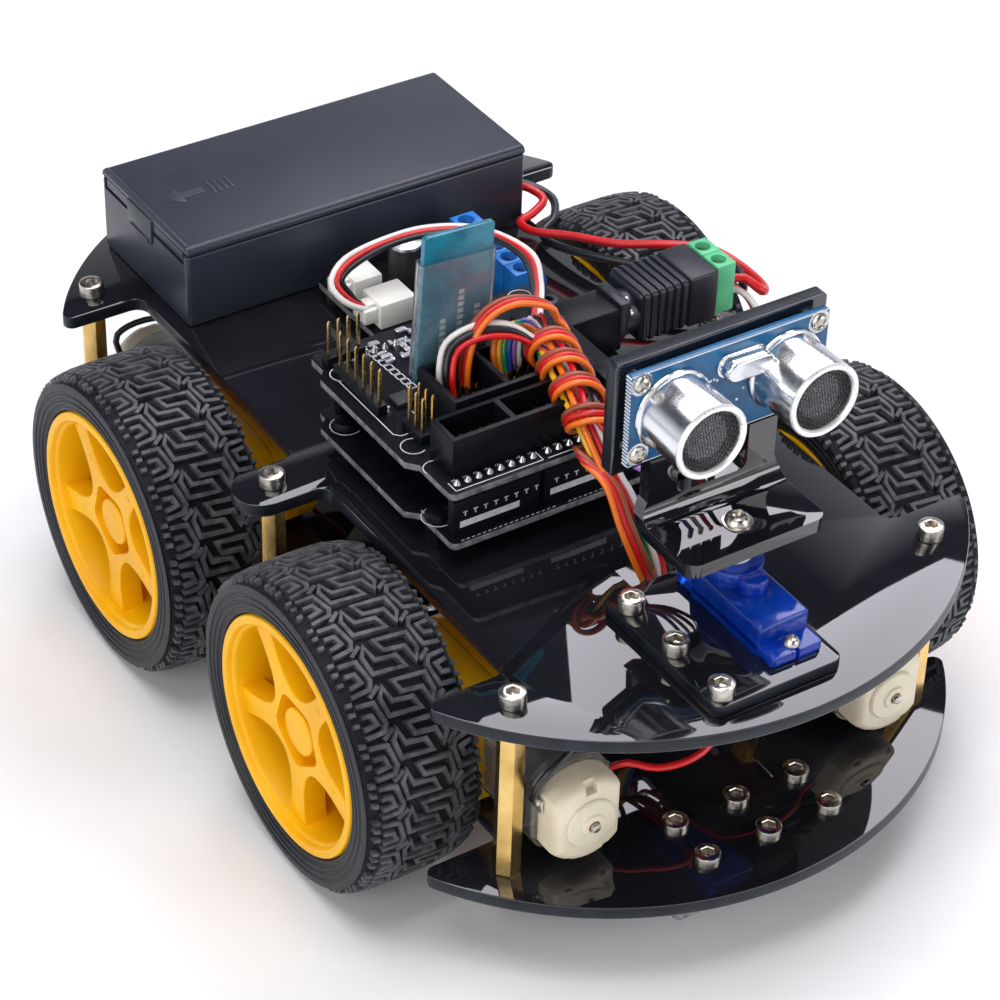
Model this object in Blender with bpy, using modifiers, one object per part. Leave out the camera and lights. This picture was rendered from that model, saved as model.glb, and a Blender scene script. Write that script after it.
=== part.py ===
"""Four wheel robot car: two acrylic decks on standoffs, four geared motors with wheels,
a closed battery box, stacked control electronics and a servo that pans a distance sensor.

Metres, +Z up. The front is -Y. The origin is on the floor, midway between the four wheels.
"""
import math

import bmesh
import bpy
from mathutils import Matrix, Vector

# ---- driving dimensions (metres) ----
GAP = 0.0003                 # air left between pieces that touch

WHEEL_RADIUS = 0.0345
WHEEL_WIDTH = 0.026
WHEEL_OUTER_X = 0.0760       # outer face of a tyre, from the middle of the car
RIM_RADIUS = 0.0259
STAR_FACE = 0.0100           # the hub's star, from the wheel's middle plane to its outer face
STAR_THICKNESS = 0.0030
AXLE_Y = 0.0402              # half of the wheelbase
MOTOR_X = 0.0371             # middle plane of a geared motor

DECK_THICKNESS = 0.0030
LOWER_TOP = 0.0212
UPPER_TOP = 0.0642
DECK_ARC_RADIUS = 0.0752
DECK_ARC_Y = 0.0387          # centre of each round end, from the middle
DECK_HALF_WIDTH = 0.0460     # between the wheels
DECK_NOTCH_Y = 0.0750        # where the wheel notch ends
EAR_HALF = 0.0063            # half width of the ear between two wheels
EAR_TIP_X = 0.0640
TIP_ROUND = 0.0020
CORNER_ROUND = 0.0030

FRONT_POST = (0.0503, -0.0833)
MIDDLE_POST = (0.0553, 0.0)
REAR_POST = (0.0549, 0.0818)
POST_ACROSS_FLATS = 0.0050
SCREW_HOLE = 0.0016

GEARBOX_HALF = (0.0094, 0.01125)   # half thickness and half height
GEARBOX_BEHIND = 0.0110            # from the axle to the gearbox's round end
GEARBOX_AHEAD = 0.0262             # from the axle to the motor can
CAN_END = 0.0435
CAP_END = 0.0532
CAN_RADIUS = 0.0100
CAN_FLAT = 0.0077
SHAFT_RADIUS = 0.0027
ROTOR_RADIUS = 0.0055

BATTERY_LOW = (-0.0430, 0.0583, 0.0645)
BATTERY_HIGH = (0.0441, 0.0985, 0.0822)
LID_TOP = 0.0844
BATTERY_WALL = 0.0016
CELL_RADIUS = 0.0070

BOARD_LEFT = -0.0388
BOARD_BUMP = -0.0413
BOARD_RIGHT = 0.0272
BOARD_FRONT = -0.0436
BOARD_REAR = 0.0096
BOARD_Z = (0.0690, 0.0706)
SHIELD_RIGHT = 0.0140
SHIELD_REAR = 0.0123
SHIELD_Z = (0.0812, 0.0828)

PAN_X = 0.0012
PAN_Y = -0.0820
SERVO_HALF_WIDTH = 0.0059
SERVO_FRONT = -0.0989
SERVO_REAR = -0.0762
SERVO_Z = (0.0512, 0.0739)
SERVO_EAR_Z = (0.0675, 0.0697)

SONAR_FACE_Y = -0.0760
SONAR_Z = 0.1140
SONAR_HALF = (0.02275, 0.01025)
BRACKET_BACK_Y = -0.0700
BRACKET_THICKNESS = 0.0030
BRACKET_FOOT_Z = 0.0832

COLOURS = {
    "black_acrylic": ((0.012, 0.012, 0.016, 1), 0.06, 0.0),
    "brass": ((0.80, 0.55, 0.20, 1), 0.28, 1.0),
    "yellow_plastic": ((0.95, 0.62, 0.02, 1), 0.42, 0.0),
    "tyre_rubber": ((0.030, 0.030, 0.032, 1), 0.75, 0.0),
    "motor_steel": ((0.30, 0.32, 0.36, 1), 0.35, 1.0),
    "cream_nylon": ((0.86, 0.80, 0.68, 1), 0.45, 0.0),
    "bright_steel": ((0.75, 0.75, 0.77, 1), 0.22, 1.0),
    "white_plastic": ((0.90, 0.90, 0.88, 1), 0.45, 0.0),
    "battery_case": ((0.035, 0.035, 0.045, 1), 0.38, 0.0),
    "cell_wrap": ((0.05, 0.30, 0.62, 1), 0.35, 0.0),
    "black_board": ((0.015, 0.016, 0.020, 1), 0.38, 0.0),
    "blue_board": ((0.02, 0.20, 0.50, 1), 0.35, 0.0),
    "teal_board": ((0.01, 0.32, 0.45, 1), 0.25, 0.0),
    "black_plastic": ((0.025, 0.026, 0.030, 1), 0.50, 0.0),
    "servo_blue": ((0.02, 0.07, 0.70, 1), 0.18, 0.0),
    "lead_red": ((0.75, 0.03, 0.03, 1), 0.40, 0.0),
    "lead_black": ((0.03, 0.03, 0.03, 1), 0.40, 0.0),
    "loom_orange": ((0.85, 0.20, 0.03, 1), 0.45, 0.0),
}


# ---- scene ----
for old in list(bpy.data.objects):
    bpy.data.objects.remove(old, do_unlink=True)


def new_collection(name):
    group = bpy.data.collections.new(name)
    bpy.context.scene.collection.children.link(group)
    return group


PARTS = new_collection("robot_car")
CUTTERS = new_collection("cutters")
GUIDES = new_collection("guides")


def material(name):
    found = bpy.data.materials.get(name)
    if found:
        return found
    colour, roughness, metallic = COLOURS[name]
    made = bpy.data.materials.new(name)
    made.use_nodes = True
    shader = made.node_tree.nodes["Principled BSDF"]
    shader.inputs["Base Color"].default_value = colour
    shader.inputs["Roughness"].default_value = roughness
    shader.inputs["Metallic"].default_value = metallic
    return made


# ---- shape helpers: each returns a mesh in its own coordinates ----
def mesh_from(bm, name):
    mesh = bpy.data.meshes.new(name)
    bm.to_mesh(mesh)
    bm.free()
    return mesh


def box_mesh(low, high, bevel=0.0):
    low, high = Vector(low), Vector(high)
    bm = bmesh.new()
    size = Matrix.Diagonal((*(high - low), 1.0))
    bmesh.ops.create_cube(bm, size=1.0, matrix=Matrix.Translation((low + high) / 2) @ size)
    if bevel:
        bmesh.ops.bevel(bm, geom=bm.edges[:], offset=bevel, segments=2, affect="EDGES", profile=0.5)
    return mesh_from(bm, "box")


def axis_turn(axis):
    """The rotation that lays a rod made along Z along the named axis."""
    return {
        "X": Matrix.Rotation(math.pi / 2, 4, "Y"),
        "Y": Matrix.Rotation(-math.pi / 2, 4, "X"),
        "-Y": Matrix.Rotation(math.pi / 2, 4, "X"),
        "Z": Matrix.Identity(4),
    }[axis]


def rod_mesh(start, length, radius, axis="Z", segments=24):
    """A rod that begins at start and runs for length along the axis."""
    bm = bmesh.new()
    turn = axis_turn(axis)
    centre = Vector(start) + turn.to_3x3() @ Vector((0, 0, length / 2))
    bmesh.ops.create_cone(
        bm, cap_ends=True, segments=segments, radius1=radius, radius2=radius,
        depth=length, matrix=Matrix.Translation(centre) @ turn,
    )
    return mesh_from(bm, "rod")


def put(name, mesh, colour=None, collection=None, parent=None):
    """Makes an object from a mesh; smooth faces with sharp edges kept."""
    made = bpy.data.objects.new(name, mesh)
    (collection or PARTS).objects.link(made)
    if colour:
        mesh.materials.clear()
        mesh.materials.append(material(colour))
    mesh.shade_smooth()
    mesh.set_sharp_from_angle(angle=math.radians(35))
    if parent:
        made.parent = parent
    return made


def operand_group(name, meshes, parent=None):
    """A hidden group of closed meshes for a Boolean modifier."""
    group = bpy.data.collections.new(name)
    CUTTERS.children.link(group)
    for number, mesh in enumerate(meshes):
        piece = put(f"{name}_{number:02d}", mesh, collection=group, parent=parent)
        piece.hide_render = True
        piece.display_type = "WIRE"
    return group


def combine(target, operation, meshes):
    """Joins the meshes to the target, or cuts them from it; they share its parent."""
    change = target.modifiers.new(operation.lower(), "BOOLEAN")
    change.operation = operation
    change.solver = "EXACT"
    change.operand_type = "COLLECTION"
    change.collection = operand_group(f"{target.name}_{operation.lower()}", meshes, target.parent)
    return target


def join(target, *meshes):
    return combine(target, "UNION", meshes)


def cut(target, *meshes):
    return combine(target, "DIFFERENCE", meshes)


def arc(centre, radius, start, end, count):
    """Points on an arc in a plane, angles in degrees, both ends included."""
    steps = [math.radians(start + (end - start) * i / count) for i in range(count + 1)]
    return [(centre[0] + radius * math.cos(a), centre[1] + radius * math.sin(a)) for a in steps]


def filleted(points, radii, count=4):
    """The closed outline again, with each corner rounded by its radius (0 keeps it)."""
    out = []
    for i, corner in enumerate(points):
        here = Vector(corner)
        before = (Vector(points[i - 1]) - here).normalized()
        after = (Vector(points[(i + 1) % len(points)]) - here).normalized()
        half = before.angle(after) / 2
        if not radii[i] or half > math.radians(85):
            out.append(corner)
            continue
        reach = radii[i] / math.tan(half)
        centre = here + (before + after).normalized() * radii[i] / math.sin(half)
        first = here + before * reach - centre
        last = here + after * reach - centre
        sweep = first.angle_signed(last)
        for k in range(count + 1):
            turn = Matrix.Rotation(-sweep * k / count, 2)
            out.append(tuple(centre + turn @ first))
    return out


def prism_mesh(outline, low, high, plane="XY"):
    """A flat outline filled and extruded from low to high along the plane's normal."""
    curve = bpy.data.curves.new("outline", "CURVE")
    curve.dimensions = "2D"
    curve.fill_mode = "BOTH"
    curve.extrude = (high - low) / 2
    spline = curve.splines.new("POLY")
    spline.points.add(len(outline) - 1)
    for point, (a, b) in zip(spline.points, outline):
        point.co = (a, b, 0, 1)
    spline.use_cyclic_u = True
    drawn = bpy.data.objects.new("outline", curve)
    PARTS.objects.link(drawn)
    graph = bpy.context.evaluated_depsgraph_get()
    mesh = bpy.data.meshes.new_from_object(drawn.evaluated_get(graph))
    bpy.data.objects.remove(drawn)
    bpy.data.curves.remove(curve)
    turn = {
        "XY": Matrix.Identity(4),
        "XZ": Matrix(((1, 0, 0, 0), (0, 0, 1, 0), (0, 1, 0, 0), (0, 0, 0, 1))),
        "YZ": Matrix(((0, 0, 1, 0), (1, 0, 0, 0), (0, 1, 0, 0), (0, 0, 0, 1))),
    }[plane]
    mesh.transform(turn @ Matrix.Translation((0, 0, (low + high) / 2)))
    bm = bmesh.new()
    bm.from_mesh(mesh)
    bmesh.ops.remove_doubles(bm, verts=bm.verts[:], dist=1e-6)
    bmesh.ops.recalc_face_normals(bm, faces=bm.faces[:])
    bm.to_mesh(mesh)
    bm.free()
    return mesh


def turned(name, profile, colour, axis="X", segments=32, parent=None, location=(0, 0, 0)):
    """A shape turned about an axis; the profile is (radius, along) and runs down its outside."""
    bm = bmesh.new()
    points = [bm.verts.new((radius, 0, along)) for radius, along in profile]
    for first, second in zip(points, points[1:]):
        bm.edges.new((first, second))
    if profile[0][0] > 0:
        bm.edges.new((points[-1], points[0]))
    made = put(name, mesh_from(bm, name), colour, parent=parent)
    made.location = location
    made.rotation_euler = axis_turn(axis).to_euler()
    screw = made.modifiers.new("turn", "SCREW")
    screw.steps = segments
    screw.render_steps = segments
    screw.use_merge_vertices = True
    screw.merge_threshold = 0.00001
    screw.use_smooth_shade = True
    return made


def tube(name, route, radius, colour):
    """A flexible lead along a smooth curve through its route's points."""
    knots = [Vector(p) for p in route]
    ends = [knots[0] * 2 - knots[1], *knots, knots[-1] * 2 - knots[-2]]
    points = []
    for a, b, c, d in zip(ends, ends[1:], ends[2:], ends[3:]):
        count = max(2, round((c - b).length / (radius * 5)))
        for k in range(count):
            t = k / count
            points.append(0.5 * (2 * b + (c - a) * t + (2 * a - 5 * b + 4 * c - d) * t ** 2
                                 + (3 * b - a - 3 * c + d) * t ** 3))
    points.append(knots[-1])
    curve = bpy.data.curves.new(name, "CURVE")
    curve.dimensions = "3D"
    curve.bevel_depth = radius
    curve.bevel_resolution = 2
    curve.use_fill_caps = True
    spline = curve.splines.new("POLY")
    spline.points.add(len(points) - 1)
    for slot, point in zip(spline.points, points):
        slot.co = (*point, 1)
    made = bpy.data.objects.new(name, curve)
    curve.materials.append(material(colour))
    PARTS.objects.link(made)
    return made


def guide(name, location, turn=0.0):
    """An empty on a joint's axis, which carries the pieces that move on it."""
    made = bpy.data.objects.new(name, None)
    made.empty_display_size = 0.01
    made.location = location
    made.rotation_euler = (0, 0, turn)
    GUIDES.objects.link(made)
    return made


# ---- decks and standoffs ----
def deck_outline():
    """Two round ends, four wheel notches and an ear between the wheels on each side."""
    tip_x = math.sqrt(DECK_ARC_RADIUS ** 2 - (DECK_NOTCH_Y - DECK_ARC_Y) ** 2)
    tip_angle = math.degrees(math.atan2(DECK_NOTCH_Y - DECK_ARC_Y, tip_x))
    round_end = arc((0, -DECK_ARC_Y), DECK_ARC_RADIUS, -90, -tip_angle, 14)
    inner = [(DECK_HALF_WIDTH, -DECK_NOTCH_Y), (DECK_HALF_WIDTH, -EAR_HALF)]
    ear = arc((EAR_TIP_X - EAR_HALF, 0), EAR_HALF, -90, 0, 5)
    quarter = round_end + inner + ear
    radii = [0] * 14 + [TIP_ROUND] + [CORNER_ROUND, CORNER_ROUND] + [0] * len(ear)
    right = quarter + [(x, -y) for x, y in reversed(quarter[:-1])]
    right_radii = radii + radii[-2::-1]
    points = right + [(-x, y) for x, y in reversed(right[1:-1])]
    return filleted(points, right_radii + right_radii[-2:0:-1])


def post_places():
    for row, (x, y) in (("front", FRONT_POST), ("middle", MIDDLE_POST), ("rear", REAR_POST)):
        for side, name in ((-1, "left"), (1, "right")):
            yield f"{row}_{name}", (side * x, y)


def make_decks():
    outline = deck_outline()
    bolt_holes = [(x, y, SCREW_HOLE) for _, (x, y) in post_places()]
    sensor_holes = [(x, y, SCREW_HOLE) for x in (-0.015, 0, 0.015) for y in (-0.0908, -0.1018)]
    lower = put("lower_deck", prism_mesh(outline, LOWER_TOP - DECK_THICKNESS, LOWER_TOP), "black_acrylic")
    cut(lower, *[rod_mesh((x, y, LOWER_TOP - 0.006), 0.01, r, segments=12)
                 for x, y, r in bolt_holes + sensor_holes])
    upper = put("upper_deck", prism_mesh(outline, UPPER_TOP - DECK_THICKNESS, UPPER_TOP), "black_acrylic")
    below, above = UPPER_TOP - 0.006, UPPER_TOP + 0.004
    servo_slot = box_mesh((PAN_X - 0.0064, SERVO_FRONT - 0.0005, below),
                          (PAN_X + 0.0064, SERVO_REAR + 0.0005, above))
    front_slot = box_mesh((-0.011, -0.0665, below), (0.009, -0.0570, above))
    rear_slot = box_mesh((-0.009, 0.0115, below), (0.011, 0.0175, above))
    cut(upper, servo_slot, front_slot, rear_slot,
        *[rod_mesh((x, y, below), 0.01, r, segments=12) for x, y, r in bolt_holes])


def make_posts():
    length = UPPER_TOP - DECK_THICKNESS - LOWER_TOP - 2 * GAP
    radius = POST_ACROSS_FLATS / math.sqrt(3)
    for name, (x, y) in post_places():
        put(f"standoff_{name}", rod_mesh((x, y, LOWER_TOP + GAP), length, radius, segments=6), "brass")


# ---- geared motors and wheels ----
def flat_sided_outline(radius, flat):
    """A circle with two flats that face left and right."""
    return [(max(-flat, min(flat, x)), z) for x, z in arc((0, 0), radius, 0, 348.75, 31)]


def make_motor(corner, side, end):
    """Local axes: +Y runs from the axle to the motor's end cap."""
    seat = guide(f"motor_seat_{corner}", (side * MOTOR_X, end * AXLE_Y, WHEEL_RADIUS),
                 0.0 if end > 0 else math.pi)
    inward = -side * end
    half_x, half_z = GEARBOX_HALF
    back = -GEARBOX_BEHIND
    outline = filleted([(back, -half_z), (GEARBOX_AHEAD, -half_z), (GEARBOX_AHEAD, half_z), (back, half_z)],
                       [0.0085, 0.0015, 0.0015, 0.0085], 5)
    gearbox = put(f"gearbox_{corner}", prism_mesh(outline, -half_x, half_x, "YZ"), "yellow_plastic",
                  parent=seat)
    join(gearbox, box_mesh((-0.0015, back - 0.0050, -0.0030), (0.0015, back + 0.002, 0.0030)),
         rod_mesh((-half_x - 0.0006, 0.0145, 0), 2 * half_x + 0.0012, 0.0019, "X", 16))
    cut(gearbox, rod_mesh((-0.012, 0, 0), 0.024, SHAFT_RADIUS + GAP, "X", 20))

    case = flat_sided_outline(CAN_RADIUS, CAN_FLAT)
    can = put(f"motor_can_{corner}", prism_mesh(case, GEARBOX_AHEAD + GAP, CAN_END, "XZ"), "motor_steel",
              parent=seat)
    cut(can, rod_mesh((0, GEARBOX_AHEAD + 0.0020, 0), 0.03, ROTOR_RADIUS + 0.0008, "Y", 20))
    cap = put(f"motor_end_cap_{corner}", prism_mesh(case, CAN_END + GAP, CAP_END - 0.0015, "XZ"),
              "cream_nylon", parent=seat)
    join(cap, rod_mesh((0, CAP_END - 0.003, 0), 0.003, 0.0050, "Y", 20))
    cut(cap, rod_mesh((0, CAN_END - 0.001, 0), 0.02, 0.0013, "Y", 12))
    turned(f"motor_rotor_{corner}",
           [(0, 0.0545), (0.0010, 0.0545), (0.0010, 0.0422), (ROTOR_RADIUS, 0.0422), (ROTOR_RADIUS, 0.0310),
            (0.0010, 0.0310), (0.0010, 0.0288), (0, 0.0288)],
           "bright_steel", "Y", 16, parent=seat)

    foot = LOWER_TOP + GAP - WHEEL_RADIUS
    upright = sorted((inward * (half_x + 0.0009), inward * (half_x + 0.0034)))
    base = sorted((inward * (half_x + 0.0015), inward * (half_x + 0.0110)))
    bracket = put(f"motor_bracket_{corner}", box_mesh((upright[0], 0.006, foot), (upright[1], 0.022, 0.010)),
                  "black_acrylic", parent=seat)
    join(bracket, box_mesh((base[0], 0.006, foot), (base[1], 0.022, foot + 0.0025)))


def make_wheel(corner, side, end):
    """Local axes: +X points away from the car. The wheel's middle plane is at x = 0."""
    axle = guide(f"axle_{corner}", (side * (WHEEL_OUTER_X - WHEEL_WIDTH / 2), end * AXLE_Y, WHEEL_RADIUS),
                 0.0 if side > 0 else math.pi)
    half = WHEEL_WIDTH / 2
    turned(f"tyre_{corner}",
           [(WHEEL_RADIUS - 0.0030, half), (WHEEL_RADIUS - 0.0008, half - 0.0010),
            (WHEEL_RADIUS, half - 0.0035), (WHEEL_RADIUS, 0.0035 - half),
            (WHEEL_RADIUS - 0.0008, 0.0010 - half), (WHEEL_RADIUS - 0.0030, -half),
            (RIM_RADIUS + 0.0008, -half + 0.0008), (RIM_RADIUS + GAP, -half + 0.0020),
            (RIM_RADIUS + GAP, half - 0.0020), (RIM_RADIUS + 0.0008, half - 0.0008)],
           "tyre_rubber", "X", 40, parent=axle)
    hub = to_mesh(turned(f"wheel_hub_{corner}",
                         [(RIM_RADIUS, half - 0.0008), (RIM_RADIUS, 0.0010 - half), (0.0232, 0.0010 - half),
                          (0.0226, half - 0.0008)],
                         "yellow_plastic", "X", 32, parent=axle))
    join(hub, rod_mesh((STAR_FACE - STAR_THICKNESS, 0, 0), STAR_THICKNESS, 0.0240, "X", 32),
         rod_mesh((-half + 0.0040, 0, 0), half - 0.0040 + STAR_FACE - 0.0010, 0.0062, "X", 24))
    windows = []
    for arm in range(5):
        middle = math.radians(90 + 72 * arm)
        window = prism_mesh(filleted([(0.0090, -0.0028), (0.0195, -0.0088), (0.0215, 0.0), (0.0195, 0.0088),
                                      (0.0090, 0.0028)], [0.001, 0.002, 0.012, 0.002, 0.001], 3),
                            0, half, "YZ")
        window.transform(Matrix.Rotation(middle, 4, "X"))
        windows.append(window)
    cut(hub, *windows, rod_mesh((-half, 0, 0), 0.0165, SHAFT_RADIUS + GAP, "X", 20))
    inner_end = MOTOR_X - 0.0115 - (WHEEL_OUTER_X - half)
    put(f"output_shaft_{corner}", rod_mesh((inner_end, 0, 0), 0.0030 - inner_end, SHAFT_RADIUS, "X", 20),
        "white_plastic", parent=axle)


def to_mesh(source):
    """Replaces an object by its evaluated mesh, keeping its name, parent and place."""
    graph = bpy.context.evaluated_depsgraph_get()
    graph.update()
    mesh = bpy.data.meshes.new_from_object(source.evaluated_get(graph))
    mesh.transform(source.matrix_basis)
    name, parent = source.name, source.parent
    bpy.data.objects.remove(source)
    return put(name, mesh, parent=parent)


# ---- battery box ----
def make_battery():
    x0, y0, z0 = BATTERY_LOW
    x1, y1, z1 = BATTERY_HIGH
    wall = BATTERY_WALL
    box = put("battery_box", box_mesh(BATTERY_LOW, BATTERY_HIGH, 0.0008), "battery_case")
    cut(box, box_mesh((x0 + wall, y0 + wall, z0 + wall), (x1 - wall, y1 - wall, z1 + 0.01)),
        box_mesh((x0 - 0.01, y0 + wall, z1 - 0.0025), (x0 + 0.005, y1 - wall, z1 + 0.01)))
    lid = put("battery_lid", box_mesh((x0, y0, z1 + GAP), (x1, y1, LID_TOP), 0.0008), "battery_case")
    rail = z1 - 0.0018
    join(lid,
         box_mesh((x0 + 0.0002, y0 + wall + GAP, rail), (x0 + 0.0018, y1 - wall - GAP, z1 + 0.001)),
         box_mesh((x0 + 0.001, y0 + wall + GAP, rail), (x1 - 0.004, y0 + wall + 0.0015, z1 + 0.001)),
         box_mesh((x0 + 0.001, y1 - wall - 0.0015, rail), (x1 - 0.004, y1 - wall - GAP, z1 + 0.001)))
    middle = (y0 + y1) / 2
    for name, y in (("front", (y0 + wall + middle) / 2), ("rear", (y1 - wall + middle) / 2)):
        bottom = z0 + wall + GAP
        put(f"battery_cell_{name}",
            rod_mesh((x0 + 0.010, y, bottom + CELL_RADIUS), 0.065, CELL_RADIUS, "X", 24), "cell_wrap")


# ---- boards ----
def board_outline(left, bump, right, front, rear):
    """A controller board's outline, with the raised bump along its left edge."""
    return [(left, front), (right, front), (right, rear), (left, rear), (left, 0.0065), (bump, 0.0040),
            (bump, -0.0290), (left, -0.0315)]


def make_controller():
    low, top = BOARD_Z
    board = put("controller_board",
                prism_mesh(board_outline(BOARD_LEFT, BOARD_BUMP, BOARD_RIGHT, BOARD_FRONT, BOARD_REAR), low, top),
                "black_board")
    sunk = top - 0.0004
    spacers = [rod_mesh((x, y, UPPER_TOP + GAP), low + 0.0004 - UPPER_TOP - GAP, 0.0027, segments=6)
               for x, y in ((-0.0365, -0.0340), (0.0125, -0.0390), (-0.0365, 0.0020), (0.0135, 0.0070))]
    usb = box_mesh((0.0190, -0.0345, sunk), (0.0335, -0.0225, top + 0.0105))
    jack = box_mesh((0.0145, -0.0040, sunk), (0.0285, 0.0052, top + 0.0108))
    front_row = box_mesh((-0.0375, -0.0417, sunk), (0.0085, -0.0392, top + 0.0085))
    rear_row = box_mesh((-0.0355, 0.0060, sunk), (0.0020, 0.0085, top + 0.0085))
    chip = box_mesh((-0.0330, -0.0080, sunk), (0.0020, 0.0010, top + 0.0040))
    join(board, *spacers, usb, jack, front_row, rear_row, chip)
    cut(board, rod_mesh((0.022, 0.0006, top + 0.0062), 0.01, 0.0032, "X", 20))


def make_shield():
    low, top = SHIELD_Z
    board = put("expansion_shield",
                prism_mesh(board_outline(BOARD_LEFT - 0.0004, BOARD_BUMP, SHIELD_RIGHT, BOARD_FRONT + 0.0002,
                                         SHIELD_REAR), low, top),
                "black_board")
    sunk = top - 0.0004
    rise = top + 0.0092
    front_header = box_mesh((-0.0362, -0.0388, sunk), (-0.0045, -0.0302, rise))
    rear_headers = box_mesh((-0.0290, -0.0280, sunk), (-0.0030, -0.0135, rise))
    module_socket = box_mesh((-0.0250, -0.0122, sunk), (-0.0140, -0.0088, top + 0.0016))
    rows = [box_mesh((-0.0375, -0.0417, BOARD_Z[1] + 0.0085 + GAP), (0.0085, -0.0392, low + 0.0004)),
            box_mesh((-0.0355, 0.0060, BOARD_Z[1] + 0.0085 + GAP), (0.0020, 0.0085, low + 0.0004))]
    join(board, front_header, rear_headers, module_socket, *rows)
    cells = [((-0.0350, -0.0376), (-0.0222, -0.0314)), ((-0.0208, -0.0376), (-0.0057, -0.0314)),
             ((-0.0278, -0.0268), (-0.0166, -0.0147)), ((-0.0154, -0.0268), (-0.0042, -0.0147))]
    cut(board, *[box_mesh((*low_xy, top + 0.0012), (*high_xy, rise + 0.01)) for low_xy, high_xy in cells])


def make_module():
    module = put("wireless_module", box_mesh((-0.0082, -0.0009, 0), (0.0082, 0.0009, 0.0345)), "teal_board")
    module.location = (-0.0196, -0.0104, SHIELD_Z[1] + 0.0024)
    module.rotation_euler = (0, math.radians(3.0), 0)


def make_driver():
    low, top = 0.0662, 0.0678
    board = put("motor_driver", box_mesh((-0.0120, 0.0190, low), (0.0300, 0.0560, top)), "black_board")
    sunk = top - 0.0004
    spacers = [rod_mesh((x, y, UPPER_TOP + GAP), low + 0.0004 - UPPER_TOP - GAP, 0.0025, segments=6)
               for x in (-0.0090, 0.0270) for y in (0.0220, 0.0530)]
    terminals = [box_mesh((0.0185, 0.0225, sunk), (0.0268, 0.0380, top + 0.0100)),
                 box_mesh((0.0185, 0.0400, sunk), (0.0268, 0.0520, top + 0.0100))]
    sockets = [box_mesh((-0.0100, 0.0320, sunk), (-0.0010, 0.0400, top + 0.0062)),
               box_mesh((-0.0100, 0.0430, sunk), (-0.0030, 0.0510, top + 0.0062))]
    capacitor = rod_mesh((0.0040, 0.0450, sunk), 0.0115, 0.0038)
    bridge_chip = box_mesh((0.0020, 0.0230, sunk), (0.0150, 0.0360, top + 0.0030))
    join(board, *spacers, *terminals, *sockets, capacitor, bridge_chip)


def make_plug_adapter():
    adapter = put("dc_plug_adapter", box_mesh((0.0325, -0.0048, 0.0708), (0.0530, 0.0085, 0.0832), 0.0006),
                  "black_plastic")
    join(adapter, box_mesh((0.0520, -0.0040, 0.0712), (0.0580, 0.0078, 0.0834)),
         rod_mesh((0.0240, 0.0006, 0.0768), 0.0100, 0.0028, "X", 20),
         rod_mesh((0.0290, 0.0006, 0.0768), 0.0045, 0.0050, "X", 20))


def make_line_sensor():
    top = LOWER_TOP - DECK_THICKNESS - GAP
    board = put("line_sensor", box_mesh((-0.0250, -0.1065, top - 0.0046), (0.0250, -0.0860, top - 0.0030)),
                "black_board")
    posts = [rod_mesh((x, y, top - 0.0034), 0.0034, 0.0028, segments=6)
             for x in (-0.015, 0, 0.015) for y in (-0.0908, -0.1018)]
    heads = [box_mesh((x - 0.0030, -0.0990, top - 0.0090), (x + 0.0030, -0.0940, top - 0.0042))
             for x in (-0.018, 0, 0.018)]
    join(board, *posts, *heads)


# ---- panning distance sensor ----
def make_servo():
    plate_low, plate_top = UPPER_TOP + GAP, 0.0672
    plate = put("servo_base_plate", box_mesh((-0.0204, -0.1076, plate_low), (0.0096, -0.0689, plate_top)),
                "black_acrylic")
    cut(plate, box_mesh((PAN_X - 0.0063, SERVO_FRONT - 0.0004, 0.060), (PAN_X + 0.0063, SERVO_REAR + 0.0004, 0.070)),
        *[rod_mesh((-0.0172, y, 0.060), 0.01, SCREW_HOLE, segments=16) for y in (-0.1042, -0.0893, -0.0743)])
    low, top = SERVO_Z
    case = put("servo_case", box_mesh((PAN_X - SERVO_HALF_WIDTH, SERVO_FRONT, low),
                                      (PAN_X + SERVO_HALF_WIDTH, SERVO_REAR, top), 0.0004), "servo_blue")
    join(case,
         box_mesh((PAN_X - SERVO_HALF_WIDTH, SERVO_FRONT - 0.0048, SERVO_EAR_Z[0]),
                  (PAN_X + SERVO_HALF_WIDTH, SERVO_REAR + 0.0048, SERVO_EAR_Z[1])),
         rod_mesh((PAN_X, PAN_Y, top - 0.001), 0.0050, SERVO_HALF_WIDTH, segments=28),
         rod_mesh((PAN_X, PAN_Y - 0.0060, top - 0.001), 0.0050, 0.0028, segments=20))
    cut(case, rod_mesh((PAN_X, PAN_Y, top - 0.0005), 0.01, 0.0026, segments=20),
        *[rod_mesh((PAN_X, y, 0.060), 0.02, 0.0010, segments=12)
          for y in (SERVO_FRONT - 0.0025, SERVO_REAR + 0.0025)])


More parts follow.
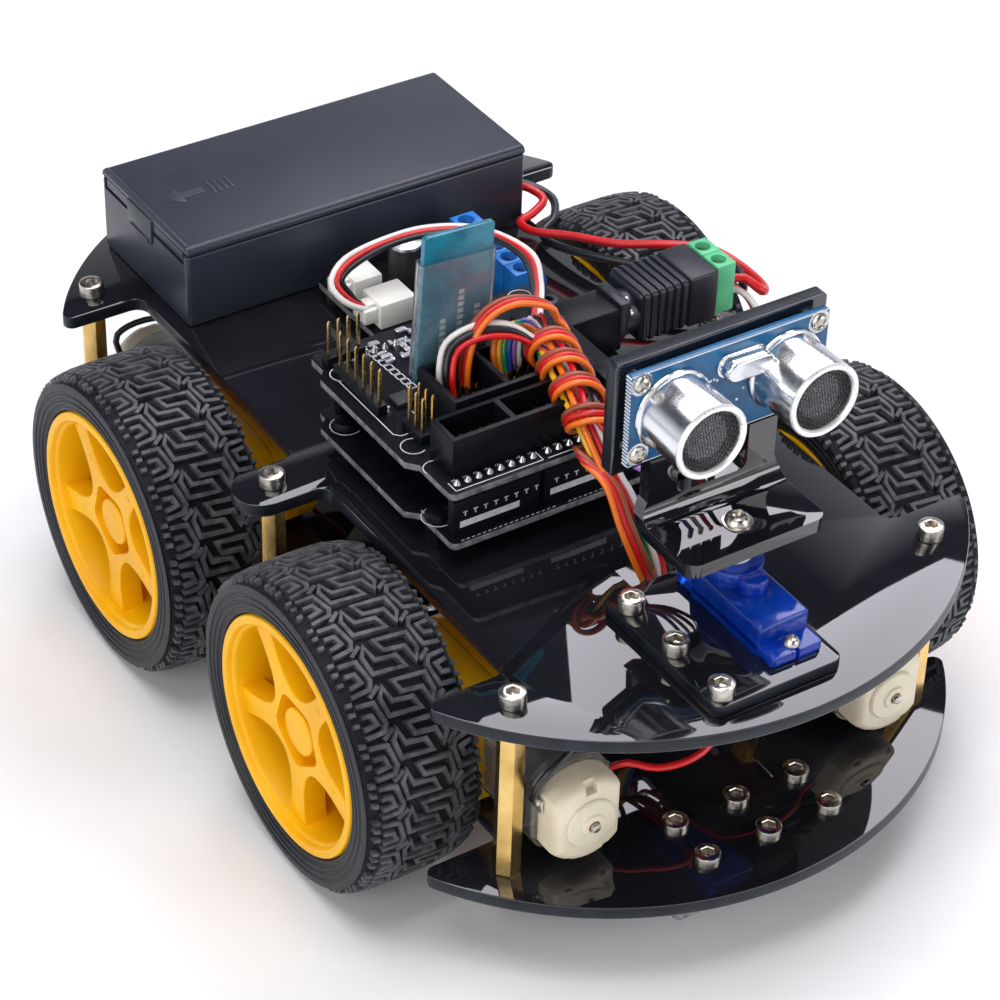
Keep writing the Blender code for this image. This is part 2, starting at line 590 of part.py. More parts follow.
def make_pan_head():
    pan = guide("pan_axis", (PAN_X, PAN_Y, 0.0))
    hub_low, hub_top = 0.0782, BRACKET_FOOT_Z - GAP
    horn = put("servo_horn", rod_mesh((0, 0, hub_low), hub_top - hub_low, 0.0036, segments=24), "white_plastic",
               parent=pan)
    join(horn, rod_mesh((0, 0, 0.0740), 0.006, 0.0022, segments=20),
         box_mesh((-0.0105, -0.0022, hub_top - 0.0015), (0.0105, 0.0022, hub_top)))

    back, face = BRACKET_BACK_Y - PAN_Y, SONAR_FACE_Y - PAN_Y
    thick = BRACKET_THICKNESS
    foot, bend = BRACKET_FOOT_Z, 0.0085
    head_low, head_top = 0.1004, 0.1256
    outer = arc((back - bend, foot + bend), bend, -90, 0, 6)
    inner = arc((back - bend, foot + bend), bend - thick, 0, -90, 6)
    side_view = [(-0.0055, foot)] + outer + [(back, head_top), (back - thick, head_top)] + inner
    side_view += [(-0.0055, foot + thick)]
    bracket = put("sonar_bracket", prism_mesh(side_view, -0.0243, 0.0243, "YZ"), "black_acrylic", parent=pan)
    sides = [box_mesh((low_x, -0.03, 0.08), (high_x, 0.03, head_low))
             for low_x, high_x in ((-0.03, -0.0155), (0.0155, 0.03))]
    cut(bracket, *sides, box_mesh((-0.0083, 0, 0.0925), (0.0083, 0.03, 0.1050)),
        rod_mesh((0, 0, 0.08), 0.01, 0.0013, segments=16))

    half_x, half_z = SONAR_HALF
    put("sonar_board", box_mesh((-half_x, face, SONAR_Z - half_z), (half_x, face + 0.0016, SONAR_Z + half_z)),
        "blue_board", parent=pan)
    for name, x in (("left", -0.013), ("right", 0.013)):
        turned(f"sonar_transducer_{name}",
               [(0, 0.0120), (0.0066, 0.0120), (0.0066, 0.0128), (0.0080, 0.0128), (0.0080, 0.0), (0, 0.0)],
               "bright_steel", "-Y", 28, parent=pan, location=(x, face - GAP, SONAR_Z))


# ---- leads ----
def make_leads():
    tube("wire_loom", [(0.0200, 0.0160, 0.0860), (0.0135, 0.0040, 0.0900), (0.0085, -0.0090, 0.0905),
                       (0.0045, -0.0220, 0.0915), (0.0020, -0.0350, 0.0910), (0.0005, -0.0460, 0.0880),
                       (-0.0005, -0.0525, 0.0800), (-0.0010, -0.0575, 0.0720), (-0.0010, -0.0610, 0.0690)],
         0.0042, "loom_orange")
    tube("battery_lead_red", [(0.0446, 0.0640, 0.0710), (0.0480, 0.0620, 0.0700), (0.0490, 0.0575, 0.0690),
                              (0.0440, 0.0550, 0.0680), (0.0400, 0.0535, 0.0680), (0.0400, 0.0480, 0.0685),
                              (0.0450, 0.0400, 0.0700), (0.0510, 0.0300, 0.0715), (0.0580, 0.0220, 0.0735),
                              (0.0650, 0.0150, 0.0740), (0.0680, 0.0070, 0.0730), (0.0675, -0.0020, 0.0730),
                              (0.0645, -0.0055, 0.0745), (0.0620, -0.0020, 0.0768), (0.0586, -0.0010, 0.0768)],
         0.0010, "lead_red")
    tube("battery_lead_black", [(0.0446, 0.0680, 0.0690), (0.0500, 0.0670, 0.0680), (0.0530, 0.0600, 0.0670),
                                (0.0490, 0.0530, 0.0665), (0.0440, 0.0500, 0.0660), (0.0430, 0.0450, 0.0660),
                                (0.0460, 0.0360, 0.0670), (0.0510, 0.0270, 0.0680), (0.0560, 0.0190, 0.0690),
                                (0.0620, 0.0120, 0.0700), (0.0645, 0.0050, 0.0700), (0.0645, 0.0010, 0.0710),
                                (0.0640, 0.0020, 0.0750), (0.0620, 0.0042, 0.0768), (0.0586, 0.0044, 0.0768)],
         0.0010, "lead_black")


def main():
    make_decks()
    make_posts()
    for end, row in ((-1, "front"), (1, "rear")):
        for side, name in ((-1, "left"), (1, "right")):
            make_motor(f"{row}_{name}", side, end)
            make_wheel(f"{row}_{name}", side, end)
    make_battery()
    make_controller()
    make_shield()
    make_module()
    make_driver()
    make_plug_adapter()
    make_line_sensor()
    make_servo()
    make_pan_head()
    make_leads()


main()
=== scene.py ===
"""The visible model of a four wheel robot car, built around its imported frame.

Shapes are collected in millimetres and scaled to metres when a piece is made.
The front of the car is -Y, the floor is z = 0, and all positions are in the frame's own axes.
"""
from math import atan2, cos, degrees, pi, radians, sin, sqrt, tan
import random

import bmesh
import bpy
from mathutils import Matrix, Vector


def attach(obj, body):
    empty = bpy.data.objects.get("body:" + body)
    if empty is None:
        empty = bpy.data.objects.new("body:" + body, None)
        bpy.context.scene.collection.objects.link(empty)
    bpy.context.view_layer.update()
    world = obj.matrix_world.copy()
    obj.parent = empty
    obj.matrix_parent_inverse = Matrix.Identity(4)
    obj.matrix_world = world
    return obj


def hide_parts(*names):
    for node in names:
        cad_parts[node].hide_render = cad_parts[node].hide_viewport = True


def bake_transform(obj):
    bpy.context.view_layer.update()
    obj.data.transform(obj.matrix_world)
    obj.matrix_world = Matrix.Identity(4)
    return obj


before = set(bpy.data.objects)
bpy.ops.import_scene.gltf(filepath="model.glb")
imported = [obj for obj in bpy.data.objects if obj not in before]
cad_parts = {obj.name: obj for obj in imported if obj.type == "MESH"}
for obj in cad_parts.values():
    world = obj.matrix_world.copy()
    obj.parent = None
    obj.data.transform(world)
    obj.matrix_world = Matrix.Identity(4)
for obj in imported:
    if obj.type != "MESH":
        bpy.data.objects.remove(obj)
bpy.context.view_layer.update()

MM = 0.001
CORNERS = [("front_left", -1, -1), ("front_right", 1, -1), ("rear_left", -1, 1), ("rear_right", 1, 1)]

WHEEL_X, AXLE_Y, AXLE_Z = 63, 40.2, 34.5
MOTOR_X = 37.1
LOWER_TOP, UPPER_TOP, DECK_THICK = 21.2, 64.2, 3
POSTS = {"front": (50.3, -83.3), "middle": (55.3, 0), "rear": (54.9, 81.8)}
PAN = Vector((1.2, -82, 0))
SONAR_FACE_Y, SONAR_Z = -76, 114
SHIELD_TOP, BOARD_TOP = 82.8, 70.6
PITCH = 2.54              # between the pins of a header


def link(name, data):
    made = bpy.data.objects.new(name, data)
    bpy.context.scene.collection.objects.link(made)
    return made


def at(x, y, z):
    return Matrix.Translation((x, y, z))


# ---- camera and lights ----
def make_camera():
    azimuth, elevation, roll = (radians(a) for a in (-33.78, 37.07, 1.85))
    back = Vector((sin(azimuth) * cos(elevation), -cos(azimuth) * cos(elevation), sin(elevation)))
    across = Vector((0, 0, 1)).cross(back).normalized()
    upward = back.cross(across)
    right = across * cos(roll) + upward * sin(roll)
    top = upward * cos(roll) - across * sin(roll)
    data = bpy.data.cameras.new("camera")
    data.lens = 115.87
    data.sensor_width = 36
    data.clip_end = 20
    camera = link("camera", data)
    camera.matrix_world = at(-0.3098, -0.4648, 0.4606) @ Matrix((right, top, back)).transposed().to_4x4()
    bpy.context.scene.camera = camera


def make_lamp(name, place, target, size, power, colour=(1, 1, 1)):
    data = bpy.data.lights.new(name, "AREA")
    data.shape = "RECTANGLE"
    data.size, data.size_y = size
    data.energy = power
    data.color = colour
    lamp = link(name, data)
    lamp.location = place
    lamp.rotation_euler = (Vector(target) - Vector(place)).to_track_quat("-Z", "Y").to_euler()


def make_studio():
    bpy.context.scene.view_settings.view_transform = "Standard"
    world = bpy.data.worlds.new("studio")
    bpy.context.scene.world = world
    world.use_nodes = True
    tree = world.node_tree
    split = tree.nodes.new("ShaderNodeSeparateXYZ")
    fade = tree.nodes.new("ShaderNodeValToRGB")
    tree.links.new(tree.nodes.new("ShaderNodeTexCoord").outputs["Generated"], split.inputs["Vector"])
    tree.links.new(split.outputs["Z"], fade.inputs["Fac"])
    tree.links.new(fade.outputs["Color"], tree.nodes["Background"].inputs["Color"])
    low, high = fade.color_ramp.elements         # bright walls under a dark ceiling
    low.position, low.color = 0.1, (0.8, 0.82, 0.88, 1)
    high.position, high.color = 0.5, (0.045, 0.05, 0.065, 1)
    # a tall soft panel behind the car, where the front of the gloss decks reflects it
    make_lamp("back_panel", (0.599, 0.374, 1.081), (0.137, -0.167, 0.05), (0.84, 0.8), 8.8, (0.95, 0.92, 1))
    make_lamp("front_left_box", (-1, -0.55, 0.7), (0, 0, 0.05), (1.2, 0.9), 7, (1, 0.99, 0.97))
    make_lamp("front_right_box", (0.7, -1, 0.6), (0, -0.05, 0.05), (0.6, 0.6), 5)
    make_lamp("top_box", (-0.25, 0, 1.3), (0, 0, 0.05), (0.9, 0.9), 11)
    floor_mesh = bpy.data.meshes.new("floor")
    half = 3
    floor_mesh.from_pydata([(-half, -half, 0), (half, -half, 0), (half, half, 0), (-half, half, 0)], [],
                           [(0, 1, 2, 3)])
    floor = link("floor", floor_mesh)
    floor_mesh.materials.append(material("floor_paper", (0.9, 0.9, 0.91), 0.85, vary=0.01, bump=0.02))


# ---- materials ----
def material(name, colour, roughness, metallic=0, vary=0.1, patch=90, grain=2600, bump=0.08,
             rough_vary=0.08, tint=None, **sockets):
    """A finish with patchy colour, uneven gloss and a fine grain, all from noise in the object's own axes."""
    made = bpy.data.materials.new(name)
    made.use_nodes = True
    tree = made.node_tree
    shader = tree.nodes["Principled BSDF"]
    place = tree.nodes.new("ShaderNodeTexCoord").outputs["Object"]

    def noise(scale, detail):
        node = tree.nodes.new("ShaderNodeTexNoise")
        node.inputs["Scale"].default_value = scale
        node.inputs["Detail"].default_value = detail
        tree.links.new(place, node.inputs["Vector"])
        return node.outputs["Fac"]

    ramp = tree.nodes.new("ShaderNodeValToRGB")
    low, high = ramp.color_ramp.elements
    low.position, high.position = 0.3, 0.7
    other = tint or colour
    low.color = (*(max(0, c * (1 - vary)) for c in other), 1)
    high.color = (*(min(1, c * (1 + vary)) for c in colour), 1)
    tree.links.new(noise(patch, 4), ramp.inputs["Fac"])
    tree.links.new(ramp.outputs["Color"], shader.inputs["Base Color"])

    spread = tree.nodes.new("ShaderNodeMapRange")
    spread.inputs["To Min"].default_value = max(0, roughness - rough_vary)
    spread.inputs["To Max"].default_value = min(1, roughness + rough_vary)
    tree.links.new(noise(patch * 4, 3), spread.inputs["Value"])
    tree.links.new(spread.outputs["Result"], shader.inputs["Roughness"])

    if bump:
        dent = tree.nodes.new("ShaderNodeBump")
        dent.inputs["Strength"].default_value = bump
        dent.inputs["Distance"].default_value = 0.0002
        tree.links.new(noise(grain, 2), dent.inputs["Height"])
        tree.links.new(dent.outputs["Normal"], shader.inputs["Normal"])
    shader.inputs["Metallic"].default_value = metallic
    for socket, value in sockets.items():
        shader.inputs[socket.replace("_", " ")].default_value = value
    return made


def ribbed(made, scale, strength, direction="Z", profile="SIN", depth=0.0003):
    """Adds fine straight ribs to a finish, as a cutting or turning tool leaves them."""
    tree = made.node_tree
    wave = tree.nodes.new("ShaderNodeTexWave")
    wave.bands_direction = direction
    wave.wave_profile = profile
    wave.inputs["Scale"].default_value = scale
    tree.links.new(tree.nodes["Texture Coordinate"].outputs["Object"], wave.inputs["Vector"])
    dent = tree.nodes.new("ShaderNodeBump")
    dent.inputs["Strength"].default_value = strength
    dent.inputs["Distance"].default_value = depth
    tree.links.new(wave.outputs["Fac"], dent.inputs["Height"])
    old = tree.nodes.get("Bump")
    if old:
        tree.links.new(old.outputs["Normal"], dent.inputs["Normal"])
    tree.links.new(dent.outputs["Normal"], tree.nodes["Principled BSDF"].inputs["Normal"])
    return made


def make_materials():
    """Every finish by the short name that pieces use for it."""
    m = {}
    m["acrylic"] = material("gloss_acrylic", (0.008, 0.008, 0.011), 0.035, vary=0.3, patch=40, bump=0.012,
                            grain=300, rough_vary=0.02, Coat_Weight=1, Coat_Roughness=0.02, IOR=1.5)
    m["acrylic_edge"] = ribbed(material("cut_acrylic_edge", (0.012, 0.015, 0.024), 0.32, vary=0.25,
            patch=160, bump=0.1, tint=(0.006, 0.008, 0.014), Specular_IOR_Level=0.3), 900, 0.25, "X")
    m["tyre"] = material("tyre_rubber", (0.004, 0.005, 0.007), 0.62, vary=0.35, patch=130, grain=3200,
                         bump=0.35, rough_vary=0.12, Specular_IOR_Level=0.25)
    # the raised tread is painted lighter grey than the carcass: partly dust and wear on the rubber, partly a
    # painted highlight on the tread tops
    m["tread"] = material("tread_rubber_dust_and_highlight", (0.06, 0.063, 0.072), 0.45, vary=0.45, patch=420, grain=3600,
                          bump=0.5, rough_vary=0.14, tint=(0.03, 0.032, 0.037))
    m["sidewall"] = material("sidewall_rubber", (0.01, 0.012, 0.018), 0.44, vary=0.3, patch=110, bump=0.25,
            Specular_IOR_Level=0.3)
    m["hub"] = material("hub_yellow", (0.93, 0.5, 0.001), 0.38, vary=0.04, patch=60, bump=0.05,
                        tint=(0.9, 0.43, 0.001), Specular_IOR_Level=0.28)
    m["gearbox"] = material("gearbox_yellow", (0.93, 0.52, 0.005), 0.36, vary=0.07, patch=80, bump=0.08,
                            tint=(0.88, 0.44, 0.004))
    m["brass"] = material("brass_bar", (0.83, 0.58, 0.22), 0.22, 1, vary=0.12, patch=150, bump=0.1,
                          tint=(0.72, 0.46, 0.15))
    m["gold"] = material("gold_pin", (0.93, 0.66, 0.28), 0.26, 1, vary=0.08, patch=200, bump=0.02)
    m["nickel"] = ribbed(material("nickel_screw", (0.66, 0.62, 0.56), 0.2, 1, vary=0.15, patch=300,
            bump=0.1, tint=(0.5, 0.46, 0.41)), 1500, 0.1)
    m["can"] = material("motor_can_steel", (0.26, 0.29, 0.34), 0.3, 1, vary=0.2, patch=200, bump=0.1)
    m["label"] = material("can_label", (0.012, 0.018, 0.03), 0.3, vary=0.3, patch=150, bump=0.05)
    m["cream"] = material("cream_nylon", (0.8, 0.72, 0.56), 0.36, vary=0.06, patch=110, bump=0.06,
                          tint=(0.72, 0.63, 0.46), Subsurface_Weight=0.25, Subsurface_Scale=0.003)
    m["clear"] = material("clear_strap", (0.9, 0.92, 0.92), 0.08, vary=0.02, bump=0.02, rough_vary=0.03,
                          Transmission_Weight=0.92, IOR=1.46)
    m["silver"] = material("sensor_can", (0.82, 0.83, 0.86), 0.2, 1, vary=0.06, patch=120, bump=0.05)
    m["rim"] = material("sensor_rim", (0.9, 0.9, 0.88), 0.3, 0.6, vary=0.04, patch=300, bump=0.05)
    m["dark_well"] = material("sensor_well", (0.012, 0.012, 0.014), 0.5, vary=0.3, patch=300, bump=0.1)
    m["mesh"] = material("woven_mesh", (0.1, 0.1, 0.105), 0.34, 1, vary=0.3, patch=500, bump=0.1)
    m["case"] = material("battery_case", (0.026, 0.03, 0.046), 0.33, vary=0.14, patch=30, grain=4200,
                         bump=0.22, rough_vary=0.05)
    m["board"] = material("black_board", (0.004, 0.005, 0.008), 0.3, vary=0.3, patch=220, grain=1600,
                          bump=0.25, rough_vary=0.08, Specular_IOR_Level=0.18)
    m["laminate"] = ribbed(material("board_edge", (0.2, 0.2, 0.22), 0.45, vary=0.35, patch=500, bump=0.3,
            tint=(0.11, 0.11, 0.12)), 1800, 0.2)
    m["blue_board"] = material("blue_board", (0.001, 0.115, 0.27), 0.32, vary=0.12, patch=260, grain=1600,
            bump=0.15, tint=(0.001, 0.08, 0.21), Coat_Weight=0.15, Coat_Roughness=0.1)
    m["teal_board"] = material("teal_board", (0.004, 0.21, 0.31), 0.28, vary=0.15, patch=200, grain=1600,
            bump=0.15, tint=(0.003, 0.12, 0.2), Coat_Weight=0.4, Coat_Roughness=0.08)
    m["sleeve"] = material("clear_sleeve", (0.86, 0.92, 0.95), 0.1, vary=0.02, bump=0.03, rough_vary=0.04,
                           Transmission_Weight=0.95, IOR=1.35)
    m["ink"] = material("white_ink", (0.66, 0.67, 0.7), 0.55, vary=0.12, patch=900, bump=0.1)
    m["solder"] = material("solder", (0.62, 0.63, 0.66), 0.28, 1, vary=0.15, patch=900, bump=0.3)
    m["moulding"] = material("black_moulding", (0.005, 0.006, 0.009), 0.36, vary=0.25, patch=180,
            grain=3000, bump=0.2, Specular_IOR_Level=0.2)
    m["grey_chip"] = material("chip_package", (0.022, 0.023, 0.026), 0.45, vary=0.2, patch=400, bump=0.25)
    m["white_chip"] = material("passive_body", (0.34, 0.34, 0.37), 0.4, vary=0.3, patch=700, bump=0.2)
    m["adapter"] = material("adapter_black", (0.01, 0.012, 0.019), 0.36, vary=0.15, patch=120, bump=0.2)
    m["green"] = material("terminal_green", (0.13, 0.62, 0.3), 0.38, vary=0.1, patch=160, bump=0.1,
                          tint=(0.1, 0.52, 0.25))
    m["terminal_blue"] = material("terminal_blue", (0.015, 0.2, 0.66), 0.34, vary=0.12, patch=160, bump=0.1,
            tint=(0.01, 0.15, 0.52))
    m["white"] = material("white_nylon", (0.83, 0.82, 0.77), 0.4, vary=0.05, patch=150, bump=0.08)
    m["servo"] = material("servo_blue", (0.012, 0.14, 0.98), 0.12, vary=0.15, patch=120, bump=0.04,
                          rough_vary=0.05, tint=(0.006, 0.08, 0.85), Transmission_Weight=0.75, IOR=1.4,
                          Coat_Weight=0.5, Coat_Roughness=0.06)
    m["servo_core"] = material("servo_core", (0.01, 0.02, 0.12), 0.4, vary=0.4, patch=300, bump=0.2)
    m["cell"] = material("cell_wrap", (0.02, 0.2, 0.5), 0.28, vary=0.12, patch=120, bump=0.05,
                         Coat_Weight=0.6)
    m["glue"] = material("tin_plate", (0.7, 0.71, 0.73), 0.3, 1, vary=0.1, patch=400, bump=0.15)
    for name, colour in {"red": (0.62, 0.006, 0.01), "black": (0.012, 0.013, 0.018),
                         "white": (0.78, 0.74, 0.72), "orange": (0.86, 0.17, 0.01),
                         "brown": (0.33, 0.065, 0.03), "yellow": (0.84, 0.46, 0.012),
                         "green": (0.02, 0.36, 0.2), "blue": (0.012, 0.1, 0.46),
                         "purple": (0.32, 0.13, 0.5)}.items():
        m["wire_" + name] = material("wire_" + name, colour, 0.34, vary=0.1, patch=160, grain=2400,
                bump=0.12, Coat_Weight=0.25, Coat_Roughness=0.2)
    return m


# ---- shapes, each a closed bmesh in millimetres ----
def box(low, high, bevel=0.25, segments=2):
    """A block between any two opposite corners."""
    low, high = Vector(map(min, low, high)), Vector(map(max, low, high))
    bm = bmesh.new()
    bmesh.ops.create_cube(bm, size=1, matrix=Matrix.Translation((low + high) / 2)
                          @ Matrix.Diagonal((*(high - low), 1)))
    if bevel:
        bevel = min(bevel, 0.45 * min(high - low))
        bmesh.ops.bevel(bm, geom=bm.edges[:], offset=bevel, segments=segments, affect="EDGES", profile=0.5)
    return bm


def loft(rings, cyclic=False):
    """Skins rings of the same number of points; a tube's ends are capped, a cyclic one joins up."""
    bm = bmesh.new()
    rows = [[bm.verts.new(p) for p in ring] for ring in rings]
    pairs = list(zip(rows, rows[1:])) + ([(rows[-1], rows[0])] if cyclic else [])
    count = len(rows[0])
    for first, second in pairs:
        for i in range(count):
            j = (i + 1) % count
            bm.faces.new((first[i], first[j], second[j], second[i]))
    if not cyclic:
        bm.faces.new(reversed(rows[0]))
        bm.faces.new(rows[-1])
    return bm


def polar(radius, angle):
    return radius * cos(radians(angle)), radius * sin(radians(angle))


def circle(radius, height, sides):
    return [(radius * cos(2 * pi * i / sides), radius * sin(2 * pi * i / sides), height)
            for i in range(sides)]


def lathe(profile, sides=32, cyclic=False):
    """A shape turned about Z from (radius, height) points; radii stay above zero."""
    return loft([circle(max(r, 0.02), z, sides) for r, z in profile], cyclic)


def aimed(direction):
    return Vector(direction).to_track_quat("Z", "Y").to_matrix().to_4x4()


def rod(start, end, radius, bevel=0.15, sides=24, end_radius=None):
    start, end = Vector(start), Vector(end)
    length = (end - start).length
    last = radius if end_radius is None else end_radius
    bevel = min(bevel, 0.45 * length, 0.8 * min(radius, last))
    profile = [(radius - bevel, 0), (radius - 0.3 * bevel, 0.3 * bevel), (radius, bevel),
               (last, length - bevel), (last - 0.3 * bevel, length - 0.3 * bevel), (last - bevel, length)]
    bm = lathe(profile, sides)
    bmesh.ops.transform(bm, verts=bm.verts[:], matrix=Matrix.Translation(start) @ aimed(end - start))
    return bm


PLANES = {"XY": Matrix.Identity(4), "XZ": Matrix(((1, 0, 0, 0), (0, 0, 1, 0), (0, 1, 0, 0), (0, 0, 0, 1))),
          "YZ": Matrix(((0, 0, 1, 0), (1, 0, 0, 0), (0, 1, 0, 0), (0, 0, 0, 1)))}


Z_TO_X = Matrix.Rotation(pi / 2, 4, "Y")


def prism(outline, low, high, plane="XY", bevel=0, segments=2):
    """A flat outline extruded along its plane's normal, with its two rims rounded."""
    bm = bmesh.new()
    face = bm.faces.new([bm.verts.new((a, b, low)) for a, b in outline])
    made = bmesh.ops.extrude_face_region(bm, geom=[face])
    top = [v for v in made["geom"] if isinstance(v, bmesh.types.BMVert)]
    bmesh.ops.translate(bm, verts=top, vec=(0, 0, high - low))
    bmesh.ops.recalc_face_normals(bm, faces=bm.faces[:])
    if bevel:
        rims = [e for e in bm.edges if abs(e.verts[0].co.z - e.verts[1].co.z) < 1e-6]
        bmesh.ops.bevel(bm, geom=rims, offset=bevel, segments=segments, affect="EDGES", profile=0.5)
    bmesh.ops.transform(bm, verts=bm.verts[:], matrix=PLANES[plane])
    return bm


def tube(points, radius, sides=10):
    """A round tube along points, with its frame carried along so that it doesn't twist."""
    points = [Vector(p) for p in points]
    rings, side = [], None
    for i, here in enumerate(points):
        ahead = (points[min(i + 1, len(points) - 1)] - points[max(i - 1, 0)]).normalized()
        if side is None:
            side = ahead.orthogonal().normalized()
        side = (side - ahead * side.dot(ahead)).normalized()
        other = ahead.cross(side)
        rings.append([here + (side * cos(t) + other * sin(t)) * radius
                      for t in (2 * pi * k / sides for k in range(sides))])
    return loft(rings)


def arc(centre, radius, start, end, count):
    steps = [radians(start + (end - start) * i / count) for i in range(count + 1)]
    return [(centre[0] + radius * cos(a), centre[1] + radius * sin(a)) for a in steps]


def rounded(points, radius, count=5):
    """A closed outline with its corners rounded; radius is one number or one for each corner."""
    radii = radius if isinstance(radius, (list, tuple)) else [radius] * len(points)
    out = []
    for i, corner in enumerate(points):
        here = Vector(corner)
        before = (Vector(points[i - 1]) - here).normalized()
        after = (Vector(points[(i + 1) % len(points)]) - here).normalized()
        half = before.angle(after) / 2
        if not radii[i] or half > radians(87):
            out.append(tuple(here))
            continue
        reach = radii[i] / tan(half)
        centre = here + (before + after).normalized() * radii[i] / sin(half)
        first, last = here + before * reach - centre, here + after * reach - centre
        sweep = first.angle_signed(last)
        for k in range(count + 1):
            out.append(tuple(centre + Matrix.Rotation(-sweep * k / count, 2) @ first))
    return out


def rectangle(low, high):
    return [(low[0], low[1]), (high[0], low[1]), (high[0], high[1]), (low[0], high[1])]


def smooth_line(knots, spacing):
    """Evenly close points on one smooth curve through the knots."""
    knots = [Vector(p) for p in knots]
    ends = [knots[0] * 2 - knots[1], *knots, knots[-1] * 2 - knots[-2]]
    out = []
    for a, b, c, d in zip(ends, ends[1:], ends[2:], ends[3:]):
        count = max(2, round((c - b).length / spacing))
        for k in range(count):
            t = k / count
            out.append(0.5 * (2 * b + (c - a) * t + (2 * a - 5 * b + 4 * c - d) * t * t
                              + (3 * b - a - 3 * c + d) * t ** 3))
    out.append(knots[-1])
    return out


def as_object(bm, name):
    mesh = bpy.data.meshes.new(name)
    bmesh.ops.recalc_face_normals(bm, faces=bm.faces[:])
    bm.to_mesh(mesh)
    bm.free()
    return link(name, mesh)


def carve(solid, *cutters):
    """The solid with the cutters taken out of it, as a new bmesh; all of them are used up."""
    made = as_object(solid, "carved")
    tools = [as_object(cutter, "cutter") for cutter in cutters]
    for tool in tools:
        change = made.modifiers.new("cut", "BOOLEAN")
        change.operation = "DIFFERENCE"
        change.solver = "EXACT"
        change.object = tool
    graph = bpy.context.evaluated_depsgraph_get()
    out = bmesh.new()
    out.from_mesh(made.evaluated_get(graph).to_mesh())
    for used in [made, *tools]:
        mesh = used.data
        bpy.data.objects.remove(used)
        bpy.data.meshes.remove(mesh)
    bmesh.ops.remove_doubles(out, verts=out.verts[:], dist=0.002)
    return out


class Piece:
    """One visible piece: closed shells gathered in millimetres, painted with its finishes."""

    def __init__(self, name, slot, *finishes, body="chassis", source=None):
        self.name, self.body, self.slot, self.finishes = name, body, slot, finishes
        self.bm = source.bm.copy() if source else bmesh.new()

    def add(self, shell, paint=0, matrix=None, edge_paint=None):
        """Takes in a shell and uses it up; edge_paint goes on the faces that stand upright."""
        bmesh.ops.recalc_face_normals(shell, faces=shell.faces[:])
        for face in shell.faces:
            upright = edge_paint is not None and abs(face.normal.z) < 0.35
            face.material_index = edge_paint if upright else paint
        if matrix:
            bmesh.ops.transform(shell, verts=shell.verts[:], matrix=matrix)
        mesh = bpy.data.meshes.new("shell")
        shell.to_mesh(mesh)
        shell.free()
        self.bm.from_mesh(mesh)
        bpy.data.meshes.remove(mesh)

    def done(self, *replaced, sharp=34, turned=None):
        """Makes the object, in metres, riding on its body and standing for the replaced nodes."""
        mesh = bpy.data.meshes.new(self.name)
        if turned:
            bmesh.ops.transform(self.bm, verts=self.bm.verts[:], matrix=turned)
        bmesh.ops.scale(self.bm, vec=(MM, MM, MM), verts=self.bm.verts[:])
        self.bm.to_mesh(mesh)
        self.bm.free()
        for finish in self.finishes:
            mesh.materials.append(MATERIALS[finish])
        mesh.shade_smooth()
        mesh.set_sharp_from_angle(angle=radians(sharp))
        made = link(self.name, mesh)
        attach(made, self.body)
        if replaced:
            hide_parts(*replaced)


# ---- cords ----
def wire(name, knots, radius, colour, replaced=(), crosses=None, spacing=1.5):
    """A free lead whose ends both go into the object; one that crosses the pan joint is made as a mesh in
    place and rides on no body.
    """
    line = smooth_line(knots, spacing)
    points = [p * MM for p in line]
    if crosses:
        shell = tube(line, radius)
        bmesh.ops.recalc_face_normals(shell, faces=shell.faces[:])
        bmesh.ops.scale(shell, vec=(MM, MM, MM), verts=shell.verts[:])
        data = bpy.data.meshes.new(name)
        shell.to_mesh(data)
        shell.free()
        data.shade_smooth()
    else:
        data = bpy.data.curves.new(name, "CURVE")
        data.dimensions = "3D"
        data.bevel_depth = radius * MM
        data.bevel_resolution = 3
        data.use_fill_caps = True
        spline = data.splines.new("POLY")
        spline.points.add(len(points) - 1)
        for knot, point in zip(spline.points, points):
            knot.co = (*point, 1)
    data.materials.append(MATERIALS["wire_" + colour])
    made = link(name, data)
    if crosses:
        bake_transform(made)
    else:
        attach(made, "chassis")
    if replaced:
        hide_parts(*replaced)


# the middle line of the bundle, from over the shield down to the front slot
LOOM = [(3.6, -6.4, 90.8), (-0.4, -15.4, 91.8), (-2.9, -24.4, 92.3), (-5.2, -33.4, 92), (-7.6, -43.6, 90.6),
        (-7.6, -50.6, 85.2), (-5.2, -56.4, 76.4), (-2, -60.4, 69)]
STRAND = 0.66            # a thin strand's radius
BUNDLE_RADIUS = 2.9      # from the bundle's middle line to its outer strands
PAN_BEND = ((0, -0.053, 0.08), (0, -0.068, 0.098))    # two points near the pan joint; wire() reads only that they are given, so no lead bends there


def loom_frames(knots, spacing):
    """Points along the bundle with two directions across it at each."""
    line = smooth_line(knots, spacing)
    frames, side = [], Vector((1, 0, 0))
    for i, here in enumerate(line):
        ahead = (line[min(i + 1, len(line) - 1)] - line[max(i - 1, 0)]).normalized()
        side = (side - ahead * side.dot(ahead)).normalized()
        frames.append((here, side, ahead.cross(side), ahead))
    return frames


